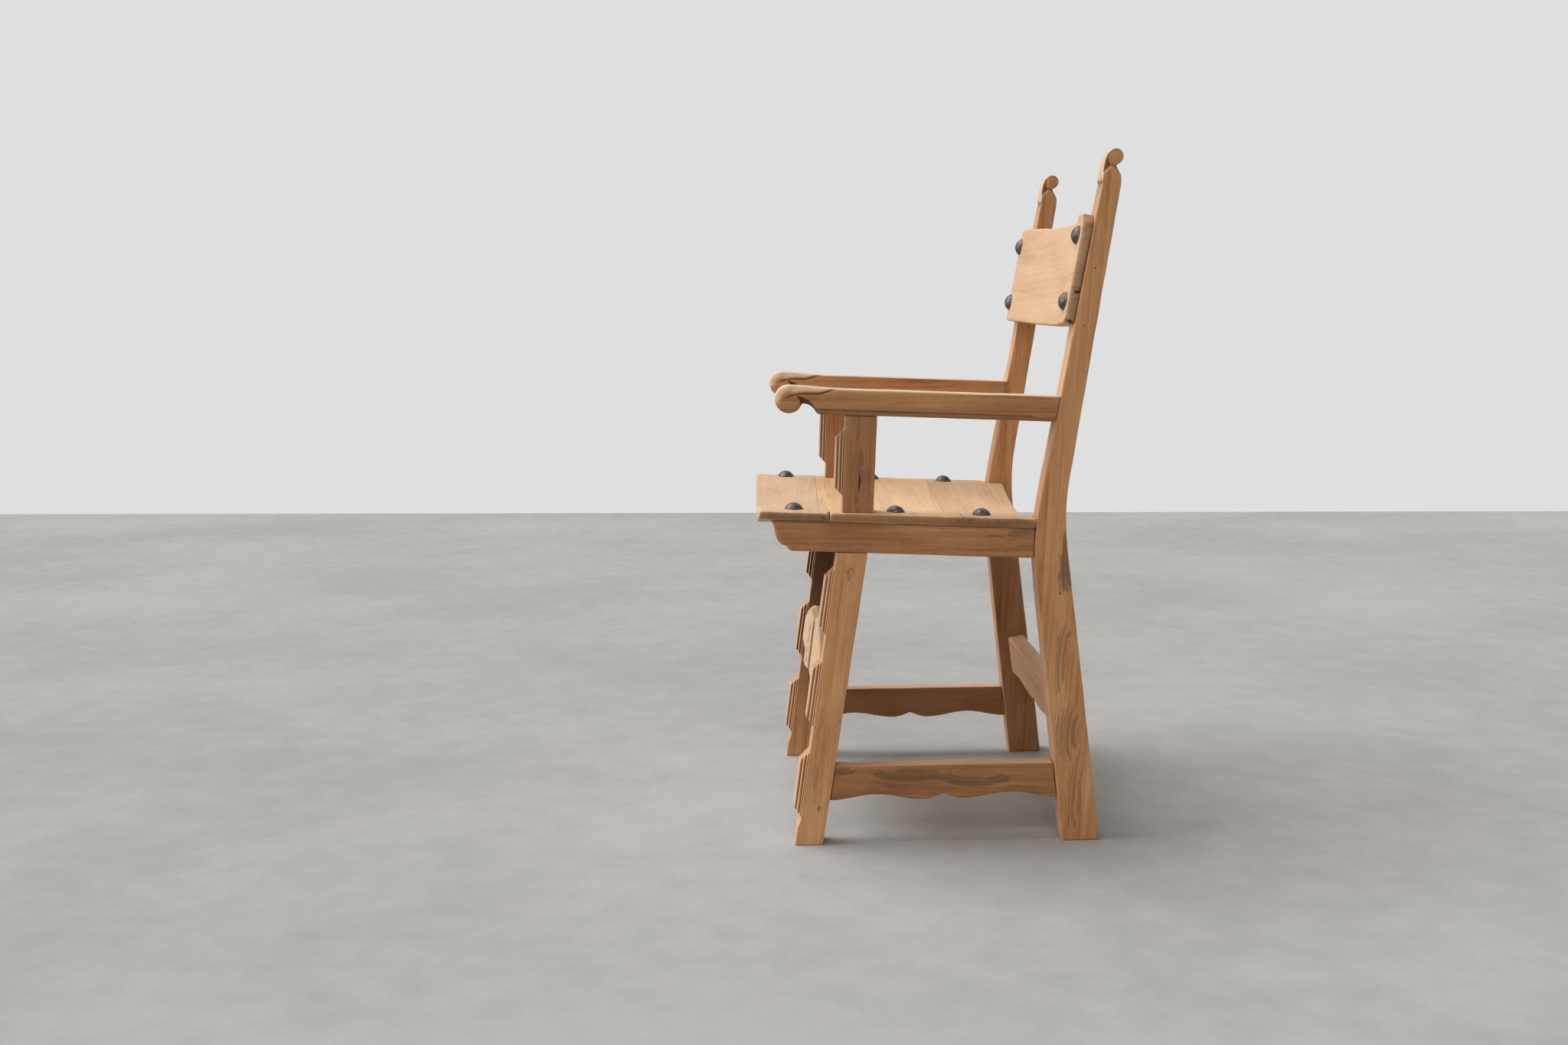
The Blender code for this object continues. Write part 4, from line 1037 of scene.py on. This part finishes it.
def planks():
    """Seat boards and back boards, each with a joint to the next one. Both back boards are cut from one tree."""
    plank("seat_plank_front", SEAT, joint_low=False, joint_high=True, seed=800)
    plank("seat_plank_middle", SEAT, joint_low=True, joint_high=True, seed=810)
    plank("seat_plank_rear", SEAT, joint_low=True, joint_high=False, seed=820)
    plank("back_plank_lower", BACK, joint_low=False, joint_high=True, seed=830)
    plank("back_plank_upper", BACK, joint_low=True, joint_high=False, seed=830)


def nail_profile(length):
    """(radius, height) from near the top of a nail's dome down to its point."""
    sphere = (NAIL_RADIUS**2 + NAIL_DOME**2) / (2 * NAIL_DOME)
    reach = math.asin(NAIL_RADIUS / sphere)
    turns = np.linspace(0.06, 0.97, 12) * reach
    profile = [(sphere * math.sin(a), sphere * (math.cos(a) - 1.0)) for a in turns]
    profile += [(NAIL_RADIUS, NAIL_RIM - NAIL_DOME), (NAIL_RADIUS - NAIL_RIM, -NAIL_DOME)]
    head, shank, tip = SHANK_RADII
    profile += [(head, -NAIL_DOME), (shank, POINT_LENGTH - length), (tip, TIP_LENGTH - length)]
    return profile


def nail_mesh(name, length, seed):
    """A nail with the top of its dome at the origin and its point down, hammered in its own way."""
    sides = NAIL_SIDES
    turns = np.arange(sides) * 2 * math.pi / sides
    rings = [[(r * math.cos(t), r * math.sin(t), z) for t in turns] for r, z in nail_profile(length)]
    points = np.array([(0.0, 0.0, 0.0)] + [p for ring in rings for p in ring] + [(0.0, 0.0, -length)])
    head = points[:, 2] > -NAIL_DOME * 0.98
    points[head] *= 1.0 + NAIL_DENTS * ripple(points[head], seed, NAIL_DENT_SIZE)[:, None]
    faces = [(0, 1 + i, 1 + (i + 1) % sides) for i in range(sides)]
    for k in range(len(rings) - 1):
        for i in range(sides):
            a, b = 1 + k * sides + i, 1 + k * sides + (i + 1) % sides
            faces.append((a, a + sides, b + sides, b))
    last = 1 + (len(rings) - 1) * sides
    faces += [(last + i, len(points) - 1, last + (i + 1) % sides) for i in range(sides)]
    mesh = bpy.data.meshes.new(name)
    mesh.from_pydata(points, [], faces)
    return mesh


def nails():
    """Round heads on pointed round shanks, in the place of the solid nails."""
    material = iron("nail_iron")
    names = [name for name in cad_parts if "_nail_" in name]
    for n, node in enumerate(sorted(names)):
        seat = node.startswith("seat")
        rearward, upward = plane_axes(SEAT if seat else BACK)
        axis = Vector(upward if seat else -rearward)
        corners = [v.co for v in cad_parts[node].data.vertices]
        heights = [v.dot(axis) for v in corners]
        tip = corners[heights.index(max(heights))]
        mesh = nail_mesh(f"{node}_hammered", max(heights) - min(heights), 900 + n)
        mesh.transform(Matrix.Translation(tip) @ axis.to_track_quat("Z", "Y").to_matrix().to_4x4())
        mesh.shade_smooth()
        mesh.materials.append(material)
        item = link(mesh.name, mesh)
        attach(item, "root")
        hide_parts(node)


def lay_floor():
    """A pale, mottled floor that ends at the wall of the photograph."""
    left, right = np.array(WALL_FOOT)
    far = [left - (right - left) * WALL_STRETCH, right + (right - left) * WALL_STRETCH]
    corners = [(*p, 0.0) for p in far] + [(FLOOR_REACH, FLOOR_REACH, 0.0), (FLOOR_REACH, -FLOOR_REACH, 0.0)]
    mesh = bpy.data.meshes.new("floor")
    mesh.from_pydata(corners, [], [(3, 2, 1, 0)])
    floor = link("floor", mesh)
    s = Shader("floor_paint")
    place = s.node("ShaderNodeTexCoord").outputs["Object"]
    cloud = s.noise(place, (1.3, 1.3, 1.3), 5.0, 0.6)
    speck = s.noise(place, (14.0, 14.0, 14.0), 4.0, 0.65)
    mottled = s.math("MULTIPLY_ADD", speck, 0.35, s.math("MULTIPLY", cloud, 0.65))
    shade = s.mix(s.ease(mottled, 0.36, 0.64), *FLOOR_TONES)
    s.bsdf.inputs["Specular IOR Level"].default_value = 0.06
    mesh.materials.append(s.finish(shade, 0.65, speck, 0.03, 0.002))


def light_world():
    """A bright wall for the eye and for reflections, and a weak, warm light on everything else."""
    world = bpy.data.worlds.new("studio")
    world.use_nodes = True
    tree = world.node_tree
    plain, seen = tree.nodes["Background"], tree.nodes.new("ShaderNodeBackground")
    plain.inputs["Color"].default_value = WALL_LIGHT
    plain.inputs["Strength"].default_value = WALL_STRENGTH
    seen.inputs["Color"].default_value = WALL_SEEN
    path = tree.nodes.new("ShaderNodeLightPath")
    clear = path.outputs["Is Camera Ray"]
    for kind in ("Is Glossy Ray", "Is Transmission Ray"):
        either = tree.nodes.new("ShaderNodeMath")
        either.operation = "MAXIMUM"
        tree.links.new(clear, either.inputs[0])
        tree.links.new(path.outputs[kind], either.inputs[1])
        clear = either.outputs[0]
    choose = tree.nodes.new("ShaderNodeMixShader")
    tree.links.new(clear, choose.inputs[0])
    tree.links.new(plain.outputs[0], choose.inputs[1])
    tree.links.new(seen.outputs[0], choose.inputs[2])
    tree.links.new(choose.outputs[0], tree.nodes["World Output"].inputs["Surface"])
    bpy.context.scene.world = world


def hang_lamps():
    """Soft light from above, from the front and from the near side."""
    for name, toward, spread, strength in LAMPS:
        light = bpy.data.lights.new(name, "SUN")
        light.angle = math.radians(spread)
        light.energy = strength
        lamp = link(name, light)
        lamp.rotation_euler = Vector(toward).to_track_quat("Z", "Y").to_euler()


def set_camera():
    """The camera of the photograph."""
    yaw, pitch, roll = (math.radians(a) for a in CAMERA_TURN)
    level = math.cos(pitch)
    ahead = Vector((-math.cos(yaw) * level, math.sin(yaw) * level, -math.sin(pitch)))
    right = ahead.cross(Vector((0, 0, 1))).normalized()
    up = right.cross(ahead)
    right, up = (math.cos(roll) * right + math.sin(roll) * up, math.cos(roll) * up - math.sin(roll) * right)
    camera = bpy.data.cameras.new("camera")
    camera.sensor_width = CAMERA_SENSOR
    camera.lens = CAMERA_LENS
    view = link("camera", camera)
    place = Matrix((right, up, -ahead)).transposed().to_4x4()
    place.translation = CAMERA_PLACE
    view.matrix_world = place
    bpy.context.scene.camera = view


def studio():
    lay_floor()
    light_world()
    hang_lamps()
    set_camera()
    bpy.context.scene.view_settings.view_transform = "Standard"


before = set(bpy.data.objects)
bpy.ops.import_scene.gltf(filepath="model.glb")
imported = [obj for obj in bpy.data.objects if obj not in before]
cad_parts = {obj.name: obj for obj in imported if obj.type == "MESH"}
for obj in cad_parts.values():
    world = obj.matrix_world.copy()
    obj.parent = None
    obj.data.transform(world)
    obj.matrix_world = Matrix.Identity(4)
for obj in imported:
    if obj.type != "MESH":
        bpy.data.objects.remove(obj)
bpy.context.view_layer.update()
frame_pieces()
planks()
nails()
studio()
